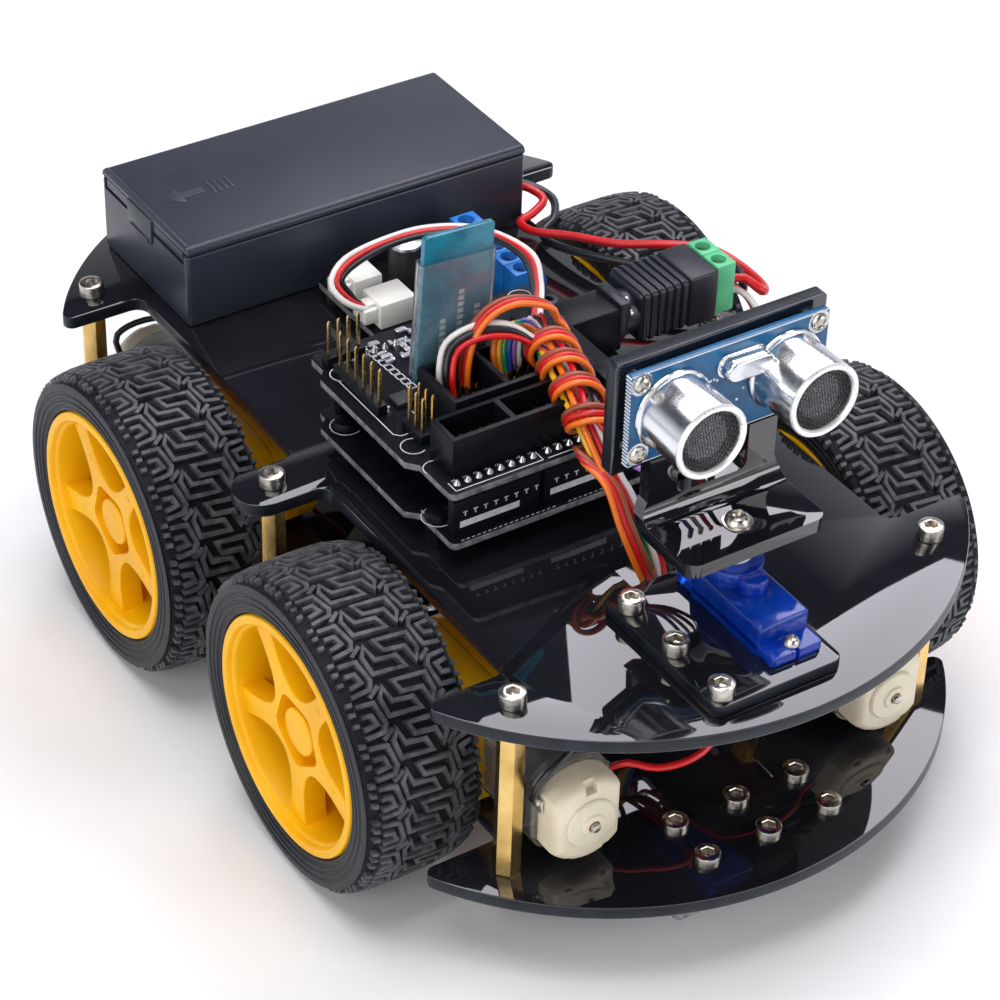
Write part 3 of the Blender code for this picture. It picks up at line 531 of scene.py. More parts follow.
def make_bundle_leads():
    """Eight ribbon strands from a shield header, gathered into a bundle that ends at sensor and deck."""
    frames = loom_frames(LOOM, 4)
    colours = ("orange", "yellow", "green", "blue", "purple", "white", "black", "red")
    joined = [i for i, (here, *_) in enumerate(frames) if here.y < -20]
    for number, colour in enumerate(colours):
        strand = [(-13 + 1.25 * number, -18.4 + 0.3 * number, 86.4), (-12.4 + 1.25 * number, -16, 91.8),
                  (-9.6 + 1.25 * number, -14.6 - 0.15 * number, 95.6 + 0.1 * number),
                  (-4.6 + 0.55 * number, -16.4 - 0.25 * number, 95.2 - 0.3 * number)]
        for i in joined:
            here, side, other, _ = frames[i]
            a = radians(90 + 45 * number + 6 * i)
            wobble = 1 + 0.06 * sin(0.9 * i + 2.1 * number)
            strand.append(here + (side * cos(a) + other * sin(a)) * BUNDLE_RADIUS * wobble)
        if colour in ("red", "black", "purple", "white"):
            pin_x = PAN.x + (("purple", "white", "red", "black").index(colour) - 1.5) * PITCH
            strand = [p for p in strand if p[1] > -46]
            strand += [(-5.4 + 0.25 * pin_x, -54, 86.6), (-2 + 0.6 * pin_x, -61, 86), (pin_x, -66.2, 90),
                       (pin_x, -68.2, 96), (pin_x, -68.4, 101.5)]
            wire(f"sensor_lead_{colour}", strand, STRAND, colour, crosses=PAN_BEND)
        else:
            spread = (number - 3.5) * 1.5
            tail = [(-1 + spread * 0.5, -61.6, 60), (-2 + spread * 0.7, -62.5, 50),
                    (-3 + spread * 0.8, -64, 38), (-4 + spread * 0.85, -66, 27)]
            wire(f"line_sensor_lead_{colour}", strand[:-1] + tail, STRAND, colour)


def make_servo_lead():
    """Three strands side by side: up from the servo, wound round the bundle, and over into a header."""
    frames = loom_frames(LOOM, 0.5)
    first = next(i for i, (here, *_) in enumerate(frames) if here.y < -49)
    last = next(i for i, (here, *_) in enumerate(frames) if here.y < -16.5)
    rise = 4.7
    for number, colour in enumerate(("orange", "red", "brown")):
        shift = (number - 1) * 1.3
        route = [(1.2 + shift, -75.6, 54.5), (0.6 + shift, -71, 53.6), (-0.6 + shift, -66.5, 54.4),
                 (-3.2 + shift, -63.2, 58.5), (-6 + shift, -62.2, 65), (-8.6 + shift, -59.5, 74),
                 (-9.8 + 0.8 * shift, -55, 82)]
        coil, turns, steps = [], 4.6, 84
        for k in range(steps + 1):
            share = k / steps
            along = first + (last - first) * share - shift / 0.5
            index = max(1, min(len(frames) - 2, along))
            low = int(index)
            here, side, other, _ = frames[low]
            here = here.lerp(frames[low + 1][0], index - low)
            angle = radians(200) + 2 * pi * turns * share
            radius = rise + 0.15 * sin(7 * share + number)
            coil.append(here + (side * cos(angle) + other * sin(angle)) * radius)
        route += coil
        route += [(0.4, -17.4 + shift, 98.8), (-3.6, -16.8 + shift, 101.2), (-8.4, -16.2 + shift, 102.4),
                  (-13.6, -15.8 + shift, 101.2), (-17.6, -16 + shift, 97.4), (-19.5, -16.6 + shift, 92.2),
                  (-20, -17 + shift, 86.6)]
        wire(f"servo_lead_{colour}", route, STRAND, colour, spacing=1.2)


def make_battery_leads():
    wire("battery_lead_red_wire", [(44.6, 64, 71), (48, 62, 70), (49, 57.5, 69), (44, 55, 68),
            (40, 53.5, 68), (40, 48, 68.5), (45, 40, 70), (51, 30, 71.5), (58, 22, 73.5), (65, 15, 74),
            (68, 7, 73), (67.5, -2, 73), (64.5, -5.5, 74.5), (62, -2, 76.8), (58.6, -1, 76.8)], 1, "red",
         ("battery_lead_red",))
    wire("battery_lead_black_wire", [(44.6, 68, 69), (50, 67, 68), (53, 60, 67), (49, 53, 66.5),
            (44, 50, 66), (43, 45, 66), (46, 36, 67), (51, 27, 68), (56, 19, 69), (62, 12, 70),
            (64.5, 5, 70), (64.5, 1, 71), (64, 2, 75), (62, 4.2, 76.8), (58.6, 4.4, 76.8)], 1, "black",
         ("battery_lead_black",))


def make_driver_leads():
    """Three strands from the driver's white socket, looped over the boards and along the bundle."""
    frames = loom_frames(LOOM, 5)
    joined = [i for i, (here, *_) in enumerate(frames) if -8 > here.y > -58]
    for number, colour in enumerate(("white", "red", "black")):
        inset = 1.35 * number
        route = [(-7 + inset * 0.2, 35 + inset, 71.5), (-12, 34.6 + inset, 72.4),
                 (-17 + inset, 36 + 0.8 * inset, 75.5), (-18.4 + inset, 39, 79),
                 (-13.4 + 0.6 * inset, 41.6 - inset, 82), (-4, 41.4 - inset, 84),
                 (6.1 - 0.3 * inset, 38.8 - inset, 85.4), (15 - 0.6 * inset, 31 - 0.6 * inset, 86.4),
                 (18 - 0.9 * inset, 16.6, 87.4), (12 - 0.7 * inset, 3.4, 88.8)]
        for i in joined:
            here, side, other, _ = frames[i]
            a = radians(30 + 120 * number)
            route.append(here + (side * cos(a) + other * sin(a)) * 0.75)
        route += [(-1.5 + inset, -61.4, 62), (-2 + inset, -62.4, 52)]
        wire(f"driver_lead_{colour}", route, 0.68, colour,
             ("wire_loom",) if number == 0 else ())


def make_header_leads():
    """Short hooked strands out of the shield's rear headers into the bundle."""
    for number, colour in enumerate(("white", "black", "red")):
        across = 1.4 * number
        wire(f"header_lead_{colour}", [(-25.4 + 0.5 * across, -17 - across, 86.5),
                (-25.2 + 0.5 * across, -15.8 - across, 91),
                (-22.6 + 0.4 * across, -14.2 - across, 96.2 - 0.3 * across),
                (-16.6, -15.2 - across, 98.8 - 0.5 * across),
                (-10.6, -17.6 - 0.9 * across, 98.6 - 0.6 * across),
                (-6.2, -20.4 - 0.5 * across, 95.6 - 0.5 * across), (-3.6, -25.6 - 0.4 * across, 92.6),
                (-4.6, -33, 91.6 - 0.3 * across)], STRAND, colour)


# Routes of the motor leads on the right-hand side, from the tab to the slot in the upper deck,
# for the front (-1) and rear (1) motors; the left-hand side mirrors them.
MOTOR_ROUTES = {(-1, "red"): [(25.5, -87.6, 41), (20.6, -91, 40), (13.5, -92.6, 40.4), (7.5, -91, 42),
        (4.5, -84, 46), (3.6, -73, 51), (3.4, -64.5, 56), (3.2, -61.8, 62.5)],
                (-1, "black"): [(46, -88.2, 46.5), (38, -87, 50.5), (24, -82, 53), (12, -74, 54),
        (6.4, -66, 56), (5.8, -62.2, 62.5)], (1, "red"): [(23, 80, 40), (18, 66, 42), (13, 46, 46),
        (8, 28, 52), (5, 17, 57), (4.2, 14.5, 64)], (1, "black"): [(46, 88.6, 46), (36, 84, 50),
        (25, 68, 50.5), (16, 46, 52), (9, 26, 55), (7, 14.5, 63.5)]}


def make_motor_leads():
    for corner, side, end in CORNERS:
        for colour, tab in (("red", -8.6), ("black", 8.6)):
            first = (side * (MOTOR_X + tab), end * (AXLE_Y + 44.6), AXLE_Z + 4.2)
            knots = [first] + [(side * x, y, z) for x, y, z in MOTOR_ROUTES[end, colour]]
            wire(f"motor_lead_{corner}_{colour}", knots, 0.75, colour, (), spacing=2)


def make_terminal_leads():
    for number, colour in enumerate(("red", "white")):
        shift = 1.6 * number
        wire(f"terminal_lead_{colour}", [(57.4, 1.2 - shift, 73.6), (60.6, 0.2 - shift, 73.8),
                (62.6, -3.2 - shift, 72), (62.4, -7.6 - 0.6 * shift, 68), (59, -10.6 - 0.3 * shift, 62),
                (52.6, -11.6, 58 - 0.6 * shift), (45.4, -12, 57.2 - 0.9 * shift)], 0.75, colour,
             ())


# ---- wheels ----
TREAD_REPEATS, FIRST_REPEAT = 25, 17.3       # the first repeat's place, in degrees round the tyre
HALF_TYRE = 13


def crown(u):
    """The tread's outer radius at a distance across the tyre."""
    return AXLE_Z - 1.5 * (abs(u) / HALF_TYRE) ** 4


def on_tyre(u, angle, radius):
    a = radians(angle)
    return (u, radius * sin(a), radius * cos(a))


def ridge(path, closed, width=0.92, height=1.35):
    """A raised line on the tread along (across, degrees) points, with a flat worn top."""
    scale = radians(1) * AXLE_Z
    flat = [Vector((u, a * scale)) for u, a in path]
    count = len(flat)
    rows = []
    for i, here in enumerate(flat):
        before = flat[i - 1] if (closed or i) else None
        after = flat[(i + 1) % count] if (closed or i < count - 1) else None
        into = (here - before).normalized() if before is not None else (after - here).normalized()
        out = (after - here).normalized() if after is not None else into
        normal = Vector((-into.y - out.y, into.x + out.x))
        normal = normal.normalized() if normal.length > 1e-6 else Vector((-into.y, into.x))
        spread = min(1.6, 1 / max(0.35, normal.dot(Vector((-into.y, into.x)))))
        ring = []
        for across, rise in ((-0.7, -0.1), (-0.54, 0.86), (-0.44, 1), (0.44, 1), (0.54, 0.86), (0.7, -0.1)):
            p = here + normal * across * width * spread
            ring.append(on_tyre(p.x, p.y / scale, crown(p.x) - height * (1 - rise)))
        rows.append(ring)
    return loft(rows, cyclic=closed)


def tread_lines():
    """One repeat of the maze tread as (path, closed), in mm across and degrees round."""
    ring = [(4.5, -4.9), (3.5, 0.5), (-0.9, 1.4), (-1.9, 5.7), (5.1, 4.6), (5.7, -1.7)]
    hook = [(10.9, -1.7), (7.3, -1.1), (6.2, 6.4), (7, 8.9), (10.9, 9.3)]
    inner = [(10.6, 2.2), (8.6, 2.5), (8, 5.8), (10.6, 6.4)]
    tie = [(5.2, -5.6), (7.6, -3)]
    bars = [[(11.4, 0.4), (12.5, 0.2)], [(11.4, 4.4), (12.5, 4.2)], [(11.4, 11.4), (12.5, 11.2)]]
    lines = [(ring, True), (hook, False), (inner, False), (tie, False)] + [(bar, False) for bar in bars]
    opposite = [([(-u, -a) for u, a in path], closed) for path, closed in lines]
    return lines + opposite


def build_tyre(piece):
    """The carcass with its ribbed sidewalls and the raised tread, about the local X axis."""
    floor = [(crown(u) - 1.25, u) for u in (-12.3 + 24.6 * i / 14 for i in range(15))]
    side = [(32.3, 12.85), (31.4, 13), (30.7, 13), (30.4, 12.72), (30, 12.72), (29.7, 12.97), (29.2, 12.97),
            (28.9, 12.66), (28.5, 12.66), (28.2, 12.92), (27.8, 12.9), (27.5, 12.55), (27.1, 12.55),
            (26.8, 12.72), (26.4, 12.6), (26.1, 12.2)]
    profile = floor + side + [(26, 11.6), (26, -11.6)] + [(r, -u) for r, u in reversed(side)]
    piece.add(lathe(profile, 120, cyclic=True), 0, Z_TO_X)
    for face in piece.bm.faces:
        if abs(face.calc_center_median().x) > 12.35:
            face.material_index = 2
    for repeat in range(TREAD_REPEATS):
        middle = FIRST_REPEAT + 360 / TREAD_REPEATS * repeat
        for path, closed in tread_lines():
            # the ridges take the lighter tread finish: partly dust and wear, partly a painted highlight on
            # their tops
            piece.add(ridge([(u - 0.8, a + middle) for u, a in path], closed), 1)


def star_outline():
    """Five arms that narrow to the rim, with hollow sides between them."""
    out = []
    for arm in range(5):
        middle = 90 + 72 * arm
        first, last = Vector(polar(22.9, middle - 28.2)), Vector(polar(22.9, middle + 28.2))
        pull = Vector(polar(1, middle)) * -1.6
        for k in range(13):
            t = k / 12
            out.append(tuple(first * (1 - t) ** 2 + pull * 2 * t * (1 - t) + last * t ** 2))
        out.append(polar(22.95, middle + 36))
    return out


def build_hub(piece):
    """Rim, barrel and a five armed star with a sunk pocket and a boss, about the local X axis."""
    rim = [(25.9, 11.8), (25.9, 12.3), (25.65, 12.7), (25.2, 12.85), (24.5, 12.85), (24, 12.7),
           (23.75, 12.3), (23.6, 11.7), (23.2, 11.35), (22.95, 10.8), (22.75, 6), (22.3, -11.6),
           (22.6, -12.3), (23.4, -12.7), (25.4, -12.7), (25.8, -12.3)]
    piece.add(lathe(rim, 96, cyclic=True), 0, Z_TO_X)
    arms = [126 + 72 * arm for arm in range(5)]
    pocket = prism(rounded([polar(8.9, a) for a in arms], 2.6, 6), 6, 12, "YZ")
    piece.add(carve(prism(star_outline(), 4.6, 10, "YZ", 0.4, 3), pocket))
    piece.add(lathe([(4.6, 3), (5.25, 3), (5.25, 9.3), (5, 9.62), (4.7, 9.7)], 40), 0, Z_TO_X)
    piece.add(lathe([(3, -9), (6, -9), (6.2, -8.6), (6.2, 4.7), (3, 4.7)], 32, cyclic=True), 0, Z_TO_X)
    for y, z in (polar(14.8, a) for a in arms):
        piece.add(rod((9.9, y, z), (10.12, y, z), 0.75, 0.06, 16))


def make_wheels():
    tyre_source, hub_source = Piece("tyre", ""), Piece("hub", "")
    build_tyre(tyre_source)
    build_hub(hub_source)
    shaft_outline = [(max(-1.95, min(1.95, y)), z) for y, z in arc((0, 0), 2.7, 0, 350, 35)]
    for corner, side, end in CORNERS:
        place = at(side * WHEEL_X, end * AXLE_Y, AXLE_Z) @ Matrix.Rotation(0 if side > 0 else pi, 4, "Z")
        body = f"wheel_{corner}"
        tyre = Piece(f"tread_tyre_{corner}", "tyre_rubber", "tyre", "tread", "sidewall", body=body,
                     source=tyre_source)
        tyre.done(f"tyre_{corner}", turned=place, sharp=28)
        hub = Piece(f"star_hub_{corner}", "yellow_plastic", "hub", body=body, source=hub_source)
        hub.done(f"wheel_hub_{corner}", turned=place)
        shaft = Piece(f"splined_shaft_{corner}", "white_plastic", "white", body=body)
        shaft.add(prism(shaft_outline, MOTOR_X - 11.5 - WHEEL_X, 3, "YZ", 0.2))
        shaft.done(f"output_shaft_{corner}", turned=place)


# ---- decks, standoffs and screws ----
def deck_outline():
    arc_y, radius, half, notch = 38.7, 75.2, 46, 75
    tip_x = sqrt(radius ** 2 - (notch - arc_y) ** 2)
    tip_angle = degrees(atan2(notch - arc_y, tip_x))
    tip = (tip_x, -notch)
    round_end = arc((0, -arc_y), radius, -90, -tip_angle - 5, 36) + [tip]
    inner = [(half, -notch), (half, -6.3)]
    ear = arc((64 - 6.3, 0), 6.3, -90, 0, 10)
    quarter = round_end + inner + ear
    radii = [0] * 37 + [2, 3, 3] + [0] * len(ear)
    right = quarter + [(x, -y) for x, y in reversed(quarter[:-1])]
    right_radii = radii + radii[-2::-1]
    points = right + [(-x, y) for x, y in reversed(right[1:-1])]
    return rounded(points, right_radii + right_radii[-2:0:-1], 6)


def cap_screw(piece, place, up=1, radius=2.75, height=3, socket=1.45):
    """A socket head with a chamfered rim and a hexagon recess."""
    sides = 36
    hexagon = []
    for i in range(sides):
        a = 2 * pi * i / sides
        inside = (a % (pi / 3)) - pi / 6
        r = socket * cos(pi / 6) / cos(inside)
        hexagon.append((r * cos(a), r * sin(a)))
    rings = [circle(radius - 0.12, 0, sides), circle(radius, 0.15, sides),
             circle(radius, height - 0.45, sides), circle(radius - 0.12, height - 0.16, sides),
             circle(radius - 0.45, height, sides), [(x * 1.1, y * 1.1, height) for x, y in hexagon],
             [(x, y, height - 0.14) for x, y in hexagon], [(x, y, height - 1.7) for x, y in hexagon],
             [(x * 0.2, y * 0.2, height - 2.1) for x, y in hexagon]]
    turn = Matrix.Translation(place) @ (Matrix.Identity(4) if up > 0 else Matrix.Rotation(pi, 4, "X"))
    piece.add(loft(rings), 0, turn)


def pan_screw(piece, place, direction, radius=1.9, height=1.1):
    """A domed head with a cross cut into it."""
    dome = lathe([(radius - 0.1, 0), (radius, 0.15), (radius * 0.92, height * 0.55),
                  (radius * 0.68, height * 0.88), (radius * 0.35, height)], 28)
    arm, width = radius * 0.62, radius * 0.15
    cuts = [box((-arm, -width, height * 0.45), (arm, width, height * 2), 0),
            box((-width, -arm, height * 0.45), (width, arm, height * 2), 0)]
    piece.add(carve(dome, *cuts), 0, Matrix.Translation(place) @ aimed(direction)
              @ Matrix.Rotation(radians(40), 4, "Z"))


def make_decks():
    outline = deck_outline()
    for name, top, slots in (("lower", LOWER_TOP, []), ("upper", UPPER_TOP,
            [((-5.2, -99.4), (7.6, -75.7)), ((-11, -66.5), (9, -57)), ((-9, 11.5), (11, 17.5))])):
        piece = Piece(f"gloss_deck_{name}", "deck_acrylic", "acrylic", "acrylic_edge")
        plate = prism(outline, top - DECK_THICK, top, "XY", 0.22)
        cutters = [prism(rounded(rectangle(*slot), 1), top - 6, top + 3) for slot in slots]
        piece.add(carve(plate, *cutters) if cutters else plate, edge_paint=1)
        piece.done(f"{name}_deck")


def make_posts():
    bottom, top = LOWER_TOP + 0.1, UPPER_TOP - DECK_THICK - 0.1
    radius, rim = 5 / sqrt(3), 0.35
    profile = ((radius - rim, bottom), (radius, bottom + rim), (radius, top - rim), (radius - rim, top))
    for row, (x, y) in POSTS.items():
        for side, name in ((-1, "left"), (1, "right")):
            piece = Piece(f"hex_standoff_{row}_{name}", "brass", "brass")
            piece.add(loft([[(side * x + r * cos(radians(60 * k + 12)), y + r * sin(radians(60 * k + 12)),
                              z) for k in range(6)] for r, z in profile]))
            piece.done(f"standoff_{row}_{name}", sharp=20)


def make_deck_screws():
    piece = Piece("socket_screws", "bright_steel", "nickel")
    for x, y in POSTS.values():
        for side in (-1, 1):
            cap_screw(piece, (side * x, y, UPPER_TOP + 0.05))
            cap_screw(piece, (side * x, y, LOWER_TOP - DECK_THICK - 0.05), up=-1)
    for y in (-104.2, -89.3, -74.3):
        cap_screw(piece, (-17.2, y, 67.25))
    for x in (-15, 0, 15):
        for y in (-101.8, -90.8):
            cap_screw(piece, (x, y, LOWER_TOP + 0.05), height=2.4)
    piece.done()


# ---- motors ----
def flat_sided(radius, flat, count=48):
    return [(max(-flat, min(flat, x)), z) for x, z in arc((0, 0), radius, 0, 360 - 360 / count, count - 1)]


def make_gearbox(corner, seat):
    """Two moulded halves round a thin seam, with screw heads, bosses and ribs on both faces."""
    piece = Piece(f"moulded_gearbox_{corner}", "yellow_plastic", "gearbox")
    outline = rounded([(-11, -11.25), (26.2, -11.25), (26.2, 11.25), (-11, 11.25)], [8.5, 1.5, 1.5, 8.5], 8)
    piece.add(prism(outline, -9.4, -0.12, "YZ", 0.55, 3))
    piece.add(prism([(y * 0.985 + 0.1, z * 0.975) for y, z in outline], -0.2, 0.2, "YZ"))
    piece.add(prism(outline, 0.12, 9.4, "YZ", 0.55, 3))
    piece.add(prism(rounded(rectangle((-16, -3), (-9, 3)), 1.2), -1.5, 1.5, "YZ", 0.3))
    for y, z in ((-6, 7.6), (-6, -7.6), (22.6, 8.4), (22.6, -8.4)):
        for face in (-1, 1):
            piece.add(rod((face * 9.3, y, z), (face * 9.9, y, z), 2, 0.15, 20))
    for face in (-1, 1):
        piece.add(rod((face * 9.3, 0, 0), (face * 10.1, 0, 0), 4.4, 0.2, 32))
        piece.add(rod((face * 9.3, 14.5, 0), (face * 10, 14.5, 0), 1.9, 0.2, 20))
        for z in (-7.5, 6.5):
            piece.add(box((face * 9.3, 4.5, z), (face * 9.7, 11.5, z + 1), 0.1))
    piece.done(f"gearbox_{corner}", turned=seat)


def make_motor(corner, seat):
    """The can with its label, the clear strap round it, and the end cap with its tabs."""
    can = Piece(f"steel_can_{corner}", "motor_steel", "can", "label")
    can.add(prism(flat_sided(10, 7.7), 26.5, 43.4, "XZ", 0.5, 3))
    can.add(prism(flat_sided(10.12, 7.82), 31, 41.5, "XZ", 0.1), 1)
    can.done(f"motor_can_{corner}", f"motor_rotor_{corner}", turned=seat)

    strap = Piece(f"clear_strap_{corner}", "white_plastic", "clear")
    outside, inside = flat_sided(10.9, 8.6), flat_sided(10.3, 8)
    strap.add(loft([[(x, y, z) for x, z in shape] for shape, y in ((outside, 27), (outside, 45.6),
            (inside, 45.6), (inside, 27))], cyclic=True))
    for face in (-1, 1):
        strap.add(box((face * 8.1, 14, -2.6), (face * 8.7, 27.2, 2.6), 0.15), 0, at(face * 1.9, 0, 0))
    strap.done(turned=seat)

    cap = Piece(f"nylon_cap_{corner}", "cream_nylon", "cream", "nickel", "glue")
    shape = flat_sided(9.95, 7.65, 72)
    profile = ((1, 43.5), (1, 49.4), (0.985, 50.4), (0.95, 51.2), (0.89, 51.8), (0.8, 52.1))
    notches = [box(low, high, 0) for low, high in (((-1.3, 50.4, 7.2), (1.3, 53, 11)),
            ((-5, 50.8, -11), (-3.4, 53, -7.4)), ((3.4, 50.8, -11), (5, 53, -7.4)))]
    cap.add(carve(loft([[(x * k, y, z * k) for x, z in shape] for k, y in profile]), *notches))
    cap.add(lathe([(5.6, 51.8), (5.6, 52.5), (5.3, 52.85), (2.7, 52.95), (2.5, 53.1), (2.4, 53.5),
                   (1.3, 53.6), (1.2, 51.8)], 48, cyclic=True), 0, Matrix.Rotation(-pi / 2, 4, "X"))
    cap.add(rod((0, 50, 0), (0, 54.5, 0), 1, 0.25, 20), 1)
    for tab in (-8.2, 8.2):
        cap.add(box((tab - 0.25, 43, 2.4), (tab + 0.25, 47.4, 5.4), 0.1), 2)
        cap.add(rod((tab - 0.6, 45.6, 4.2), (tab + 0.7, 45.6, 4.2), 1.05, 0.4, 14), 2)
    cap.done(f"motor_end_cap_{corner}", turned=seat, sharp=30)


def make_motor_bracket(corner, seat, inward):
    piece = Piece(f"motor_angle_{corner}", "deck_acrylic", "acrylic", "nickel")
    near, far = sorted((inward * 10.3, inward * 12.8))
    piece.add(prism(rounded(rectangle((6, -13), (22, 10)), 1.2), near, far, "YZ", 0.15))
    piece.add(box((inward * 11, 6, -13), (inward * 20.4, 22, -10.5), 0.3))
    for z in (6.5, -6.5):
        piece.add(rod((inward * 12.6, 14, z), (inward * 14.2, 14, z), 2.5, 0.35, 24), 1)
    piece.done(f"motor_bracket_{corner}", turned=seat)


def make_motors():
    for corner, side, end in CORNERS:
        seat = at(side * MOTOR_X, end * AXLE_Y, AXLE_Z) @ Matrix.Rotation(0 if end > 0 else pi, 4, "Z")
        make_gearbox(corner, seat)
        make_motor(corner, seat)
        make_motor_bracket(corner, seat, -side * end)


# ---- battery box ----
def make_battery():
    (x0, y0, z0), (x1, y1, z1) = (-43, 58.3, 64.5), (44.1, 98.5, 82.2)
    wall, middle = 1.6, (y0 + y1) / 2
    rows = {"front": (y0 + wall + middle) / 2, "rear": (y1 - wall + middle) / 2}
    case = Piece("battery_case", "battery_case", "case", "glue")
    shell = prism(rounded(rectangle((x0, y0), (x1, y1)), 1.2, 5), z0, z1, "XY", 0.5, 3)
    hollow = box((x0 + wall, y0 + wall, z0 + wall), (x1 - wall, y1 - wall, z1 + 6), 0)
    mouth = box((x0 - 6, y0 + wall, z1 - 2.5), (x0 + 5, y1 - wall, z1 + 6), 0)
    case.add(carve(shell, hollow, mouth))
    case.add(box((x0 + 8, middle - 0.5, z0 + 1.5), (x1 - 1.5, middle + 0.5, z0 + 8), 0.2))
    for y in rows.values():
        spring = []
        for k in range(56):
            reach, turn = 3.4 - 0.06 * k / 4, pi * k / 8
            spring.append((x0 + 2.2 + 0.55 * k / 4, y + reach * cos(turn), z0 + 9 + reach * sin(turn)))
        case.add(tube(spring, 0.35, 6), 1)
        case.add(box((x1 - 2.4, y - 4, z0 + 5), (x1 - 1.7, y + 4, z0 + 13), 0.15), 1)
    case.done("battery_box")

    lid = Piece("battery_cover", "battery_case", "case", body="lid")
    top = 84.4
    section = rounded([(y0, z1 + 0.3), (y1, z1 + 0.3), (y1, top), (y0, top)], [0.3, 0.3, 1.5, 1.5], 5)
    lid.add(prism(section, x0, x1, "YZ", 0.55, 3))
    lid.add(box((x0 + 0.1, y0 + 2.2, z1 - 1.8), (x0 + 1.5, y1 - 2.2, z1 + 0.6), 0.2))
    for y in (y0 + 2.1, y1 - 3.1):
        lid.add(box((x0 + 1, y, z1 - 1.8), (x1 - 4, y + 1, z1 + 0.5), 0.15))
    lid.add(box((x0 + 0.15, y0 + 1.3, top - 0.2), (x0 + 1.15, y1 - 1.3, top + 0.35), 0.3, 3))
    tongue = rounded([(74.2, 76.6), (85.6, 76.6), (85.6, 83.4), (74.2, 83.4)], [1.6, 1.6, 0.4, 0.4], 5)
    lid.add(prism(tongue, x0 - 0.45, x0 + 1.2, "YZ", 0.3))
    lid.add(box((x0 - 0.75, 75.6, 77.2), (x0 - 0.3, 84.2, 78), 0.2))
    arrow = [(-37.6, 78.6), (-33.4, 75.4), (-33.4, 77.5), (-28, 77.5), (-28, 79.7), (-33.4, 79.7),
             (-33.4, 81.8)]
    lid.add(prism(arrow, top - 0.1, top + 0.12, "XY", 0.05))
    for k in range(4):
        lid.add(box((-26.4 + 1.5 * k, 76.2, top - 0.1), (-25.7 + 1.5 * k, 81, top + 0.12), 0.05))
    lid.done("battery_lid")

    z = z0 + 8.9
    for name, y in rows.items():
        cell = Piece(f"wrapped_cell_{name}", "cell_wrap", "cell", "glue")
        cell.add(rod((x0 + 10, y, z), (x0 + 75, y, z), 7, 0.7, 40))
        cell.add(rod((x0 + 9.6, y, z), (x0 + 75.4, y, z), 5.6, 0.3, 32), 1)
        cell.done(f"battery_cell_{name}")


# ---- boards ----
def board_outline(left, bump, right, front, rear):
    return [(left, front), (right, front), (right, rear), (left, rear), (left, 6.5), (bump, 4), (bump, -29),
            (left, -31.5)]


def pins(piece, places, low, high):
    """Square pins with pointed tips."""
    half = 0.31
    for x, y in places:
        rings = []
        for scale, z in ((1, low), (1, high - 0.7), (0.35, high)):
            rings.append([(x + a * half * scale, y + b * half * scale, z) for a,
                          b in ((-1, -1), (1, -1), (1, 1), (-1, 1))])
        piece.add(loft(rings))


def line_on(piece, points, z, width=0.22):
    """A thin printed line on a board's top, along flat points."""
    for (ax, ay), (bx, by) in zip(points, points[1:]):
        a, b = Vector((ax, ay)), Vector((bx, by))
        across = (b - a).orthogonal().normalized() * width / 2
        piece.add(prism([tuple(p) for p in (a - across, b - across, b + across, a + across)], z - 0.02,
                        z + 0.035))


def ring_on(piece, centre, radius, z, start=0, end=360):
    line_on(piece, arc(centre, radius, start, end, 20), z)


